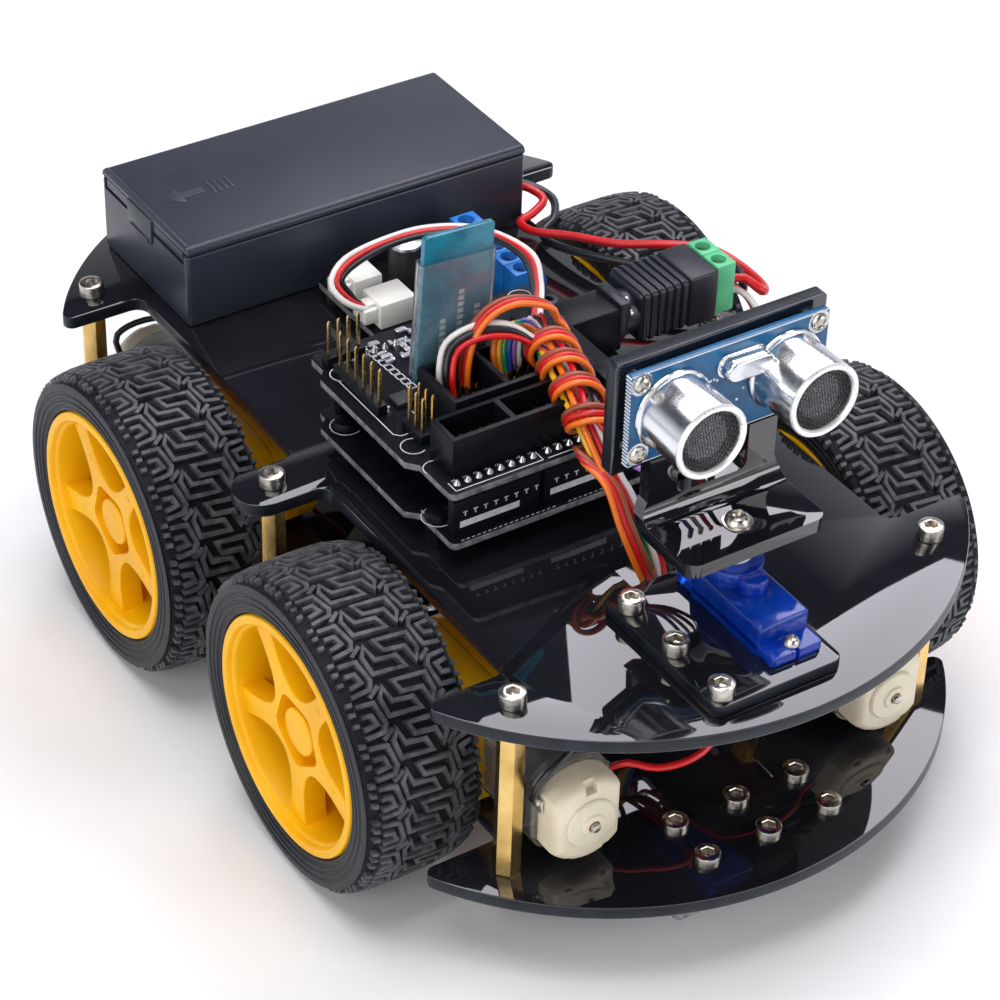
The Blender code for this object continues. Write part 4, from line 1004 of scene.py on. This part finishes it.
def make_controller():
    low, top = 69, BOARD_TOP
    board = Piece("controller", "black_board", "board", "laminate")
    board.add(prism(rounded(board_outline(-38.8, -41.3, 27.2, -43.6, 9.6), [1.5, 0.8, 0.8, 1.5, 0, 0, 0, 0],
                            3), low, top, "XY", 0.08), edge_paint=1)
    board.done("controller_board")

    parts = Piece("controller_parts", "black_plastic", "moulding", "glue", "grey_chip")
    for x, y in ((-36.5, -34), (12.5, -39), (-36.5, 2), (13.5, 7)):
        parts.add(rod((x, y, UPPER_TOP + 0.05), (x, y, low), 2.7, 0.2, 6))
        parts.add(lathe([(1.4, top), (2.7, top), (2.7, top + 0.5), (2.3, top + 1.6), (1.2, top + 2)], 28),
                  0, at(x, y, 0))
    for x0, x1, y0, y1 in ((-37.5, -17.2, -41.7, -39.2), (-16, 8.5, -41.7, -39.2), (-35.5, 2, 6, 8.5)):
        parts.add(box((x0, y0, top), (x1, y1, top + 8.5), 0.15))
    parts.add(box((-33, -8, top), (2, 1, top + 3.6), 0.3), 2)
    parts.add(box((-20, -24, top), (-13, -17, top + 1.2), 0.2), 2)
    parts.add(box((8, -18, top), (12, -12, top + 1.6), 0.2), 2)
    usb = carve(box((19, -34.5, top), (33.5, -22.5, top + 10.5), 0.4),
                box((31, -33.6, top + 0.9), (36, -23.4, top + 9.6), 0))
    parts.add(usb, 1)
    parts.add(box((24, -32.5, top + 4.4), (33, -24.5, top + 6.2), 0.1), 0)
    jack = carve(box((14.5, -4, top), (28.5, 5.2, top + 10.8), 0.5),
                 rod((22, 0.6, top + 6.2), (30, 0.6, top + 6.2), 3.2, 0, 28))
    parts.add(jack)
    for x, y in ((14, -30), (10, -27), (16.5, -12)):
        parts.add(rod((x, y, top), (x, y, top + 5.4), 2, 0.2, 24), 1)
        parts.add(rod((x, y, top + 5.3), (x, y, top + 5.5), 1.6, 0.1, 24), 2)
    parts.done()

    ink = Piece("controller_print", "white_plastic", "ink")
    for x0, x1 in ((-36.1, -22.1), (-14.7, -0.5)):
        ink.add(box((x0, -41.76, top + 2.1), (x1, -41.68, top + 3.6), 0))
    for k in range(17):
        x = -35.4 + 2.4 * k
        if not -18.5 < x < -15.5 and x < 7.5:
            ink.add(box((x, -41.76, top + 5.6), (x + 1, -41.68, top + 5.85), 0))
            ink.add(box((x + 0.4, -41.76, top + 4.7), (x + 0.65, -41.68, top + 5.7), 0))
    for k in range(30):
        x = -36.6 + 1.27 * k
        if -14.5 < x < -11.5:
            continue
        line_on(ink, [(x, -43.15), (x + 0.75, -43.05)], top, 0.16)
    line_on(ink, [(-38.2, -30.5), (-38.2, -34)], top)
    for centre in ((-36.5, -34), (-36.5, 2)):
        ring_on(ink, centre, 3.3, top, 100, 300)
    ink.done()


# the shield's free pin rows, as flat places
PIN_BLOCKS = [[(-37 + 2.3 * k, 7.8) for k in range(4)], [(-36.8, 3.4 - 3.1 * k) for k in range(6)],
              [(-34.6 + 2.3 * a, -20 - PITCH * b) for a in range(2) for b in range(3)]]


def make_shield():
    low, top = 81.2, SHIELD_TOP
    board = Piece("shield", "black_board", "board", "laminate")
    board.add(prism(rounded(board_outline(-39.2, -41.3, 14, -43.4, 12.3), [1.5, 0.8, 0.8, 1.5, 0, 0, 0, 0],
                            3), low, top, "XY", 0.08), edge_paint=1)
    board.done("expansion_shield")

    heads = Piece("shield_headers", "black_plastic", "moulding")
    rise = top + 9.2
    wall = 1.1
    for x0, x1, y0, y1, wells in ((-36.2, -4.5, -38.8, -30.2, ((-35.1, -22.1), (-20.9, -5.6))),
            (-29, -3, -28, -13.5, ((-27.9, -16.6), (-15.4, -4.1)))):
        heads.add(carve(box((x0, y0, top), (x1, y1, rise), 0.2),
                        *(box((a, y0 + wall, top + 1.4), (b, y1 - wall, rise + 5), 0) for a, b in wells)))
    for x0, x1, y0, y1 in ((-37.5, 8.5, -41.7, -39.2), (-35.5, 2, 6, 8.5)):
        heads.add(box((x0, y0, BOARD_TOP + 8.55), (x1, y1, low), 0.1))
    for places in PIN_BLOCKS:
        xs, ys = [p[0] for p in places], [p[1] for p in places]
        heads.add(box((min(xs) - 1.2, min(ys) - 1.2, top), (max(xs) + 1.2, max(ys) + 1.2, top + 2.3), 0.2))
    heads.add(box((-25, -12.4, top), (-14, -8.6, top + 2.2), 0.2))
    heads.add(box((2, -6, top), (8, 0, top + 3.4), 0.3))
    heads.add(box((6, -30, top), (12.4, -24, top + 3.6), 0.3))
    heads.done()

    gold = Piece("shield_pins", "brass", "gold")
    for places in PIN_BLOCKS:
        pins(gold, places, top - 2.6, top + 10.6)
    for x0, x1 in ((-33.4, -24), (-18.8, -7.8)):
        pins(gold, [(x0 + (x1 - x0) * k / 4, y) for k in range(5) for y in (-35.8, -33.2)], top, top + 5.6)
    for x0 in (-26.2, -13.8):
        pins(gold, [(x0 + PITCH * a, -24.9 + PITCH * b) for a in range(4) for b in range(4)], top,
             top + 5.6)
    row = [(-36.2 + PITCH * k, -40.4) for k in range(8)] + [(-14.9 + PITCH * k, -40.4) for k in range(10)]
    pins(gold, row, low - 2.2, top + 0.5)
    gold.done()

    tin = Piece("shield_solder", "bright_steel", "solder")
    for x, y in row + [(-34.2 + PITCH * k, 7.2) for k in range(14)]:
        tin.add(lathe([(0.85, 0), (0.72, 0.3), (0.4, 0.75), (0.22, 1.05)], 12), 0, at(x, y, top))
    for places in PIN_BLOCKS[:2]:
        for x, y in places:
            tin.add(lathe([(0.8, 0), (0.66, 0.3), (0.36, 0.8)], 12), 0, at(x + 1.9, y - 0.1, top))
    for k in range(4):
        for x in (-25.4, -12.6):
            tin.add(box((x + PITCH * k, 2.2, top), (x + PITCH * k + 1, 3.6, top + 0.5), 0.15))
    tin.done()

    chips = Piece("shield_chips", "white_plastic", "white_chip", "grey_chip", "solder")
    random.seed(11)
    for _ in range(26):
        x, y = random.uniform(-28, -17), random.uniform(0.5, 10.5)
        size = random.choice(((1.6, 0.8), (0.8, 1.6), (2, 1.25)))
        x, y = round(x / 1.9) * 1.9, round(y / 1.7) * 1.7
        chips.add(box((x, y, top), (x + size[0], y + size[1], top + random.uniform(0.45, 0.8)), 0.08))
        for side_x in (-0.28, size[0] - 0.12):
            chips.add(box((x + side_x, y + 0.05, top), (x + side_x + 0.4, y + size[1] - 0.05, top + 0.5),
                          0.05), 2)
    chips.add(box((-14, -4, top), (-6, 4, top + 1.2), 0.15), 1)
    chips.add(box((-33, -13, top), (-29, -9, top + 1), 0.15), 1)
    chips.done()

    ink = Piece("shield_print", "white_plastic", "ink")
    for k in range(9):
        x, y = -28.3 + 0.12 * k, 9.4 - 2 * k
        line_on(ink, [(x, y), (x + 1.7, y), (x + 1.7, y - 1.6), (x, y - 1.6), (x, y)], top, 0.2)
    for centre, start, end in (((-37, -25.4), 60, 300), ((-36.4, 3.4), 30, 250), ((-37, -34), 0, 190),
            ((10.6, -38.6), 0, 360), ((10.6, 9), 0, 360)):
        ring_on(ink, centre, 2.6, top, start, end)
    for path in ([(-38.4, 2), (-38.4, -20), (-37.2, -21.2), (-35, -21.2)], [(-31, -14), (-31, -28.6)],
                 [(-37.6, -42.4), (-17.2, -42.4), (-17.2, -39.4)], [(-37.6, -42.4), (-37.6, -39.4)],
                 [(-16, -42.4), (9.2, -42.4)]):
        line_on(ink, path, top)
    for x, y in row:
        line_on(ink, [(x, -39.4), (x + 0.3, -38.95)], top, 0.18)
        line_on(ink, [(x - 0.35, -39.35), (x - 0.35, -39)], top, 0.15)
    ink.done()




def make_module():
    place = at(-19.6, -10.4, SHIELD_TOP + 2.4) @ Matrix.Rotation(radians(3), 4, "Y")
    board = Piece("teal_module", "teal_board", "teal_board", "grey_chip", "glue", "ink")
    board.add(prism(rounded(rectangle((-8.2, 0), (8.2, 34.5)), 0.8), -0.8, 0.5, "XZ", 0.1), 0, place)
    board.add(box((-3.5, 0.4, 8), (3.5, 1.4, 15), 0.15), 1, place)
    board.add(box((-2, 0.4, 18), (2.5, 1.2, 21), 0.15), 1, place)
    for k in range(4):
        board.add(box((-4.1 + PITCH * k, -0.3, -2), (-3.5 + PITCH * k, 0.3, 4), 0.08), 2, place)
    for x, length in ((-3.4, 9), (0.6, 15), (4.6, 11)):
        for k in range(int(length / 1.5)):
            board.add(box((x, -0.86, 6 + 1.5 * k), (x + 1.3, -0.79, 7 + 1.5 * k), 0), 3, place)
    board.done("wireless_module")

    sleeve = Piece("module_sleeve", "white_plastic", "sleeve")
    outer = rounded(rectangle((-8.9, -1.55), (8.9, 1.7)), 0.9, 4)
    inner = rounded(rectangle((-8.6, -1.25), (8.6, 1.4)), 0.7, 4)
    rings = [[(x, y, z) for x, y in shape] for shape, z in ((outer, 2), (outer, 28.5), (inner, 28.5),
            (inner, 2))]
    sleeve.add(loft(rings, cyclic=True), 0, place)
    sleeve.done()


def make_driver():
    low, top = 66.2, 67.8
    board = Piece("driver_board", "black_board", "board", "laminate")
    board.add(prism(rounded(rectangle((-12, 19), (30, 56)), 1), low, top, "XY", 0.08), edge_paint=1)
    board.done("motor_driver")

    parts = Piece("driver_parts", "black_plastic", "grey_chip", "nickel", "glue")
    for x in (-9, 27):
        for y in (22, 53):
            parts.add(rod((x, y, UPPER_TOP + 0.05), (x, y, low), 2.5, 0.2, 6))
            cap_screw(parts, (x, y, top), radius=2.3, height=1.6, socket=1.1)
    parts.add(box((2, 23, top), (15, 36, top + 3), 0.3))
    for k in range(8):
        for y0, y1 in ((21.6, 23.2), (35.8, 37.4)):
            parts.add(box((2.8 + 1.5 * k, y0, top), (3.4 + 1.5 * k, y1, top + 1.2), 0.1), 2)
    parts.add(rod((4, 45, top), (4, 45, top + 11.5), 3.8, 0.5, 36), 2)
    parts.add(lathe([(3.86, top), (3.86, top + 10.6), (3.4, top + 11.2)], 36), 0, at(4, 45, 0))
    parts.add(rod((11.5, 47, top), (11.5, 47, top + 6), 2.6, 0.4, 30), 2)
    parts.done()

    blue = Piece("blue_terminals", "blue_board", "terminal_blue", "nickel")
    for y0, count in ((22.5, 3), (40, 2)):
        for k in range(count):
            ya, yb = y0 + 5.08 * k, y0 + 5.08 * (k + 1) - 0.12
            block = prism([(18.5, top), (26.8, top), (26.8, top + 6.6), (24.6, top + 10), (18.5, top + 10)],
                          ya, yb, "XZ", 0.2)
            hole = rod((21.4, (ya + yb) / 2, top + 6), (21.4, (ya + yb) / 2, top + 12), 1.9, 0, 24)
            mouth = box((24, ya + 1, top + 1), (28, yb - 1, top + 4.6), 0)
            blue.add(carve(block, hole, mouth))
            blue.add(rod((21.4, (ya + yb) / 2, top + 5.8), (21.4, (ya + yb) / 2, top + 8.2), 1.75, 0.2, 20),
                     1)
    blue.done()

    white = Piece("white_sockets", "white_plastic", "white")
    for y0, y1 in ((32, 40), (43, 51)):
        high = 6.2
        x1 = -1 if y0 < 40 else -3
        white.add(carve(box((-10, y0, top), (x1, y1, top + high), 0.35),
                        box((-14, y0 + 1.1, top + 1.2), (x1 - 2, y1 - 1.1, top + high - 1.1), 0)))
        white.add(box((-13.2, y0 + 1.3, top + 1.4), (-5, y1 - 1.3, top + high - 1.3), 0.3))
        white.add(box((-12, y0 + 2.4, top + high - 1.4), (-8, y1 - 2.4, top + high - 0.5), 0.25))
    white.done()


def make_adapter():
    piece = Piece("plug_adapter", "black_plastic", "adapter", "glue")
    low, high = 70.8, 83.2
    piece.add(box((32.5, -4.4, low + 0.4), (46, 8.1, high - 0.5), 0.9, 3))
    for k in range(6):
        x = 33.4 + 2 * k
        piece.add(prism(rounded(rectangle((-4.8, low), (8.5, high)), 1.2), x, x + 1.15, "YZ", 0.3))
    piece.add(box((45.4, -4.8, low), (53, 8.5, high), 0.6, 3))
    piece.add(lathe([(2, 0), (2.75, 0.2), (2.8, 9.6), (2.6, 10)], 32), 0,
              at(24, 0.6, 76.8) @ aimed((1, 0, 0)))
    piece.add(rod((29, 0.6, 76.8), (33.5, 0.6, 76.8), 5, 0.5, 36))
    piece.add(box((27.6, -4.2, 74), (30.4, 5.4, 82.4), 0.4))
    for y, z in ((-1.6, 81.2), (-3.4, 79)):
        piece.add(rod((30.2, y, z), (31.2, y, z), 0.9, 0.25, 16), 1)
    green = Piece("adapter_terminal", "teal_board", "green", "nickel")
    for k in range(2):
        ya, yb = -4 + 5.9 * k, -4 + 5.9 * (k + 1) - 0.1
        block = box((53.1, ya, low + 0.4), (58, yb, high + 0.2), 0.35)
        hole = rod((55.2, (ya + yb) / 2, high - 3.4), (55.2, (ya + yb) / 2, high + 3), 1.75, 0, 28)
        mouth = box((56.4, ya + 1, low + 3.2), (60, yb - 1, low + 8), 0)
        green.add(carve(block, hole, mouth))
        green.add(rod((55.2, (ya + yb) / 2, high - 3.6), (55.2, (ya + yb) / 2, high - 1.2), 1.6, 0.2, 20),
                  1)
    green.done()
    piece.done("dc_plug_adapter")


def make_line_sensor():
    top = LOWER_TOP - DECK_THICK - 0.3
    board = Piece("line_sensor_board", "black_board", "board", "laminate")
    board.add(prism(rounded(rectangle((-25, -106.5), (25, -86)), 1.5), top - 4.6, top - 3, "XY", 0.08),
              edge_paint=1)
    board.done("line_sensor")
    parts = Piece("line_sensor_parts", "black_plastic", "moulding", "nickel", "white_chip")
    for x in (-15, 0, 15):
        for y in (-90.8, -101.8):
            parts.add(rod((x, y, top - 3), (x, y, top + 0.25), 2.8, 0.2, 6), 1)
            parts.add(rod((x, y, top - 5.8), (x, y, top - 4.6), 2.4, 0.3, 6), 1)
    for x in (-18, 0, 18):
        parts.add(box((x - 3, -99, top - 9), (x + 3, -94, top - 4.6), 0.3))
        for y in (-97.8, -95.2):
            parts.add(rod((x, y, top - 9.4), (x, y, top - 8.8), 1, 0.2, 20), 2)
    parts.add(box((-6.5, -89.6, top - 8.6), (6.5, -87, top - 4.6), 0.2))
    parts.done()
    plug = Piece("line_sensor_plug", "black_plastic", "moulding")
    plug.add(box((-11, -67.6, LOWER_TOP + 0.05), (5, -64.6, LOWER_TOP + 8), 0.3))
    plug.done()


# ---- pan servo and distance sensor ----
def make_servo():
    plate = Piece("servo_plate", "deck_acrylic", "acrylic", "acrylic_edge")
    shape = prism(rounded(rectangle((-20.4, -107.6), (9.6, -68.9)), 2.2), UPPER_TOP + 0.2, 67.2, "XY", 0.2)
    plate.add(carve(shape, box((-5.1, -99.3, 60), (7.5, -75.8, 70), 0)), edge_paint=1)
    plate.done("servo_base_plate")

    case = Piece("servo_body", "servo_blue", "servo")
    x0, x1, y0, y1 = PAN.x - 5.9, PAN.x + 5.9, -98.9, -76.2
    case.add(box((x0, y0, 51.2), (x1, y1, 55.6), 0.5, 3))
    case.add(box((x0 + 0.12, y0 + 0.12, 55.4), (x1 - 0.12, y1 - 0.12, 68), 0.3))
    case.add(box((x0, y0, 67.8), (x1, y1, 73.9), 0.6, 3))
    ears = prism(rounded(rectangle((x0, y0 - 4.8), (x1, y1 + 4.8)), 0.8), 67.5, 69.7, "XY", 0.2)
    holes = [rod((PAN.x, y, 60), (PAN.x, y, 80), 1, 0, 20) for y in (y0 - 2.5, y1 + 2.5)]
    slits = [box((PAN.x - 0.5, a, 60), (PAN.x + 0.5, b, 80), 0) for a,
             b in ((y0 - 2.5, y0 - 8), (y1 + 2.5, y1 + 8))]
    case.add(carve(ears, *holes, *slits))
    case.add(rod((PAN.x, PAN.y, 73.6), (PAN.x, PAN.y, 77.9), 5.9, 0.5, 48))
    case.add(rod((PAN.x, PAN.y - 6.4, 73.6), (PAN.x, PAN.y - 6.4, 77.5), 2.9, 0.5, 32))
    case.done("servo_case")

    core = Piece("servo_inside", "black_plastic", "servo_core", "glue")
    core.add(rod((PAN.x, y0 + 5.6, 53), (PAN.x, y0 + 5.6, 66.5), 4.4, 0.5, 30), 1)
    core.add(box((x0 + 1.4, y1 - 10, 52.6), (x1 - 1.4, y1 - 1.6, 66), 0.4))
    for x, y, r in ((PAN.x - 1.5, y0 + 5, 3), (PAN.x + 1.4, y0 + 11, 3.6), (PAN.x, PAN.y, 4.2)):
        core.add(rod((x, y, 69.5), (x, y, 71.8), r, 0.2, 26))
    core.done()
    screws = Piece("servo_screws", "bright_steel", "nickel")
    for y in (y0 - 2.5, y1 + 2.5):
        pan_screw(screws, (PAN.x, y, 69.75), (0, 0, 1), 1.7, 1.5)
    screws.done()


def make_pan_head():
    to_pan = Matrix.Translation(PAN)
    horn = Piece("servo_hub", "white_plastic", "white", body="pan_head")
    horn.add(lathe([(2, 73.9), (2.4, 74.1), (2.5, 77.6), (3.3, 78.4), (3.6, 79), (3.6, 82.4), (3.4, 82.8)],
                   40), 0, to_pan)
    horn.add(prism(rounded(rectangle((-11.5, -2.2), (11.5, 2.2)), 2, 6), 81.2, 82.9, "XY", 0.25), 0, to_pan)
    horn.done("servo_horn")

    back, thick, foot, bend = 12, 3, 83.2, 6.5
    outer = arc((back - bend, foot + bend), bend, -90, 0, 14)
    inner = arc((back - bend, foot + bend), bend - thick, 0, -90, 14)
    head_low, head_top = 100.4, 125.6
    side_view = [(-7.5, foot)] + outer + [(back, head_low + 2), (back - thick, head_low + 2)] + inner
    side_view += [(-7.5, foot + thick)]
    bracket = Piece("sensor_bracket", "deck_acrylic", "acrylic", "acrylic_edge", body="pan_head")
    bent = prism(side_view, -16.4, 16.4, "YZ", 0.15)
    window = prism(rounded(rectangle((-8.3, 90.4), (8.3, 108)), 1.6), 2, 20, "XZ")
    flares = [prism([(s * x, z) for x, z in ((30, 80), (16.5, 80), (16.5, 87), (15, 91), (15, 108),
            (30, 108))], -20, 20, "XZ") for s in (-1, 1)]
    toes = [prism([(s * 18, -9)] + [(s * x, y) for x, y in arc((13.4, -4.5), 3.02, -90, 0, 8)], 80, 88)
            for s in (-1, 1)]
    bracket.add(carve(bent, window, *flares, *toes), 0, to_pan)
    plate = prism(rounded(rectangle((-24.3, head_low), (24.3, head_top)), 0.9, 4), back - thick, back, "XZ",
                  0.12)
    bracket.add(carve(plate, prism(rounded(rectangle((-8.3, 93), (8.3, 104.5)), 1.6), 2, 20, "XZ")), 0,
                to_pan)
    bracket.bm.normal_update()
    for face in bracket.bm.faces:
        normal, centre = face.normal, face.calc_center_median()
        if centre.z > 99 and abs(normal.y) < 0.3:
            face.material_index = 1
    bracket.done("sonar_bracket")

    fixings = Piece("bracket_screws", "bright_steel", "nickel", body="pan_head")
    fixings.add(lathe([(3.1, 0), (3.15, 0.1), (3.1, 0.35), (1.6, 0.4)], 36), 0,
                at(PAN.x, PAN.y, foot + thick))
    pan_screw(fixings, (PAN.x, PAN.y, foot + thick + 0.3), (0, 0, 1), 2.6, 1.7)
    for x in (-20.4, 20.4):
        for z in (-8, 8):
            pan_screw(fixings, (PAN.x + x, SONAR_FACE_Y - 0.02, SONAR_Z + z), (0, -1, 0), 1.85, 1)
            fixings.add(rod((PAN.x + x, SONAR_FACE_Y + 1.6, SONAR_Z + z), (PAN.x + x, -73, SONAR_Z + z),
                            1.5, 0.1, 20))
            fixings.add(rod((PAN.x + x, -70, SONAR_Z + z), (PAN.x + x, -68.3, SONAR_Z + z), 2.4, 0.2, 6))
    fixings.done()



def make_sensor_board():
    face_y = SONAR_FACE_Y
    board = Piece("sensor_board", "blue_board", "blue_board", "ink", "solder", "grey_chip", body="pan_head")
    outline = rectangle((-22.75, -10.25), (22.75, 10.25))
    at_board = at(PAN.x, 0, SONAR_Z)
    board.add(prism(rounded(outline, 0.4), face_y, face_y + 1.6, "XZ", 0.1), 0, at_board)
    for side in (-1, 1):
        for k in range(26):
            z = -9.9 + 0.79 * k
            board.add(rod((side * 22.72, face_y + 0.02, z), (side * 22.72, face_y + 1.58, z), 0.2, 0.02, 8),
                      1, at_board)
    for z in (10.02, -10.24):
        board.add(box((-22.6, face_y - 0.02, z), (22.6, face_y + 0.06, z + 0.22), 0), 1, at_board)
    for x in (-20.4, 20.4):
        for z in (-8, 8):
            board.add(lathe([(2.3, 0), (2.5, 0.03), (2.4, 0.06), (1.9, 0.06)], 28), 2,
                      at(PAN.x + x, face_y + 0.02, SONAR_Z + z) @ aimed((0, -1, 0)))
    random.seed(5)
    for _ in range(16):
        x, z = random.choice((-1, 1)) * random.uniform(2, 4.6), random.uniform(-9, 4.5)
        board.add(rod((x, face_y - 0.03, z), (x, face_y + 0.02, z), 0.32, 0.01, 12), 2, at_board)
    for x, z in ((-3.81, -8.6), (-1.27, -8.6), (1.27, -8.6), (3.81, -8.6)):
        board.add(rod((x, face_y - 0.5, z), (x, face_y + 0.05, z), 0.8, 0.3, 14), 2, at_board)
    for x0, z0, x1, z1 in ((-9, -3, -2, 4), (4, -5, 10, 3), (-18, -4, -13, 2)):
        board.add(box((x0, face_y + 1.6, z0), (x1, face_y + 2.6, z1), 0.12), 3, at_board)
    for x in (-8.6, 7.9):
        board.add(box((x, face_y - 0.02, -4.6), (x + 0.22, face_y + 0.05, -1.6), 0), 1, at_board)
    board.done("sonar_board")

    header = Piece("sensor_header", "black_plastic", "moulding", "gold", body="pan_head")
    header.add(box((-5.1, face_y + 1.6, -9.9), (5.1, face_y + 4.1, -7.3), 0.15), 0, at_board)
    for k in range(4):
        x = -3.81 + PITCH * k
        header.add(box((x - 0.3, face_y - 0.3, -8.9), (x + 0.3, face_y + 7, -8.3), 0.08), 1, at_board)
        header.add(box((x - 1.15, face_y + 4.2, -9.8), (x + 1.15, face_y + 8, -7.4), 0.2), 0, at_board)
    header.done()

    crystal = Piece("crystal_can", "bright_steel", "silver", body="pan_head")
    stadium = arc((3.2, 0), 2.2, -90, 90, 12) + arc((-3.2, 0), 2.2, 90, 270, 12)
    flange = [(x * 1.07, y * 1.16) for x, y in stadium]
    flat = at(PAN.x + 2.3, face_y, SONAR_Z + 5.6)
    crystal.add(prism(flange, -0.6, 0, "XZ", 0.1), 0, flat)
    crystal.add(prism(stadium, -3.6, -0.4, "XZ", 0.55, 3), 0, flat)
    crystal.done()


def make_transducers():
    """The two ultrasonic cans, each with a rolled rim and a woven wire mesh over its cone."""
    for name, x in (("left", -13), ("right", 13)):
        centre = at(PAN.x + x, SONAR_FACE_Y - 0.1, SONAR_Z) @ aimed((0, -1, 0))
        can = Piece(f"transducer_{name}", "bright_steel", "silver", "rim", "dark_well", "mesh",
                    body="pan_head")
        can.add(lathe([(7.9, 0), (8.45, 0), (8.6, 0.25), (8.45, 0.6), (8, 0.8), (7.9, 0.9)], 64,
                      cyclic=True), 0, centre)
        can.add(lathe([(7.2, 0.2), (7.92, 0.2), (7.92, 12), (7.75, 12.35), (7.2, 12.4)], 64, cyclic=True),
                0, centre)
        can.add(lathe([(6.55, 11.6), (7.5, 11.9), (7.9, 12.1), (7.95, 12.5), (7.7, 12.8), (6.85, 12.75),
                       (6.55, 12.4)], 64, cyclic=True), 1, centre)
        can.add(lathe([(7.25, 0.3), (7.25, 11.2), (6.6, 11.2), (6.5, 9.4), (0.3, 9.2)], 48), 2, centre)
        can.add(lathe([(4.6, 10.9), (4.75, 10.75), (2, 9.6), (0.4, 9.4)], 40), 0, centre)
        pitch, radius = 0.62, 6.75
        count = int(radius / pitch)
        for k in range(-count, count + 1):
            reach = sqrt(radius ** 2 - (k * pitch) ** 2)
            steps = max(2, int(2 * reach / (pitch / 2)))
            for across in (0, 1):
                points = []
                for s in range(steps + 1):
                    t = -reach + 2 * reach * s / steps
                    lift = 0.1 * cos(pi * (t / pitch + k + across))
                    points.append((t, k * pitch, 11.95 + lift) if across else (k * pitch, t, 11.95 + lift))
                can.add(tube(points, 0.125, 5), 3, centre @ Matrix.Rotation(radians(12), 4, "Z"))
        can.done(f"sonar_transducer_{name}")


MATERIALS = make_materials()
make_camera()
make_studio()
make_battery_leads()
make_bundle_leads()
make_servo_lead()
make_driver_leads()
make_header_leads()
make_motor_leads()
make_terminal_leads()
make_wheels()
make_decks()
make_posts()
make_deck_screws()
make_motors()
make_battery()
make_controller()
make_shield()
make_module()
make_driver()
make_adapter()
make_line_sensor()
make_servo()
make_pan_head()
make_sensor_board()
make_transducers()
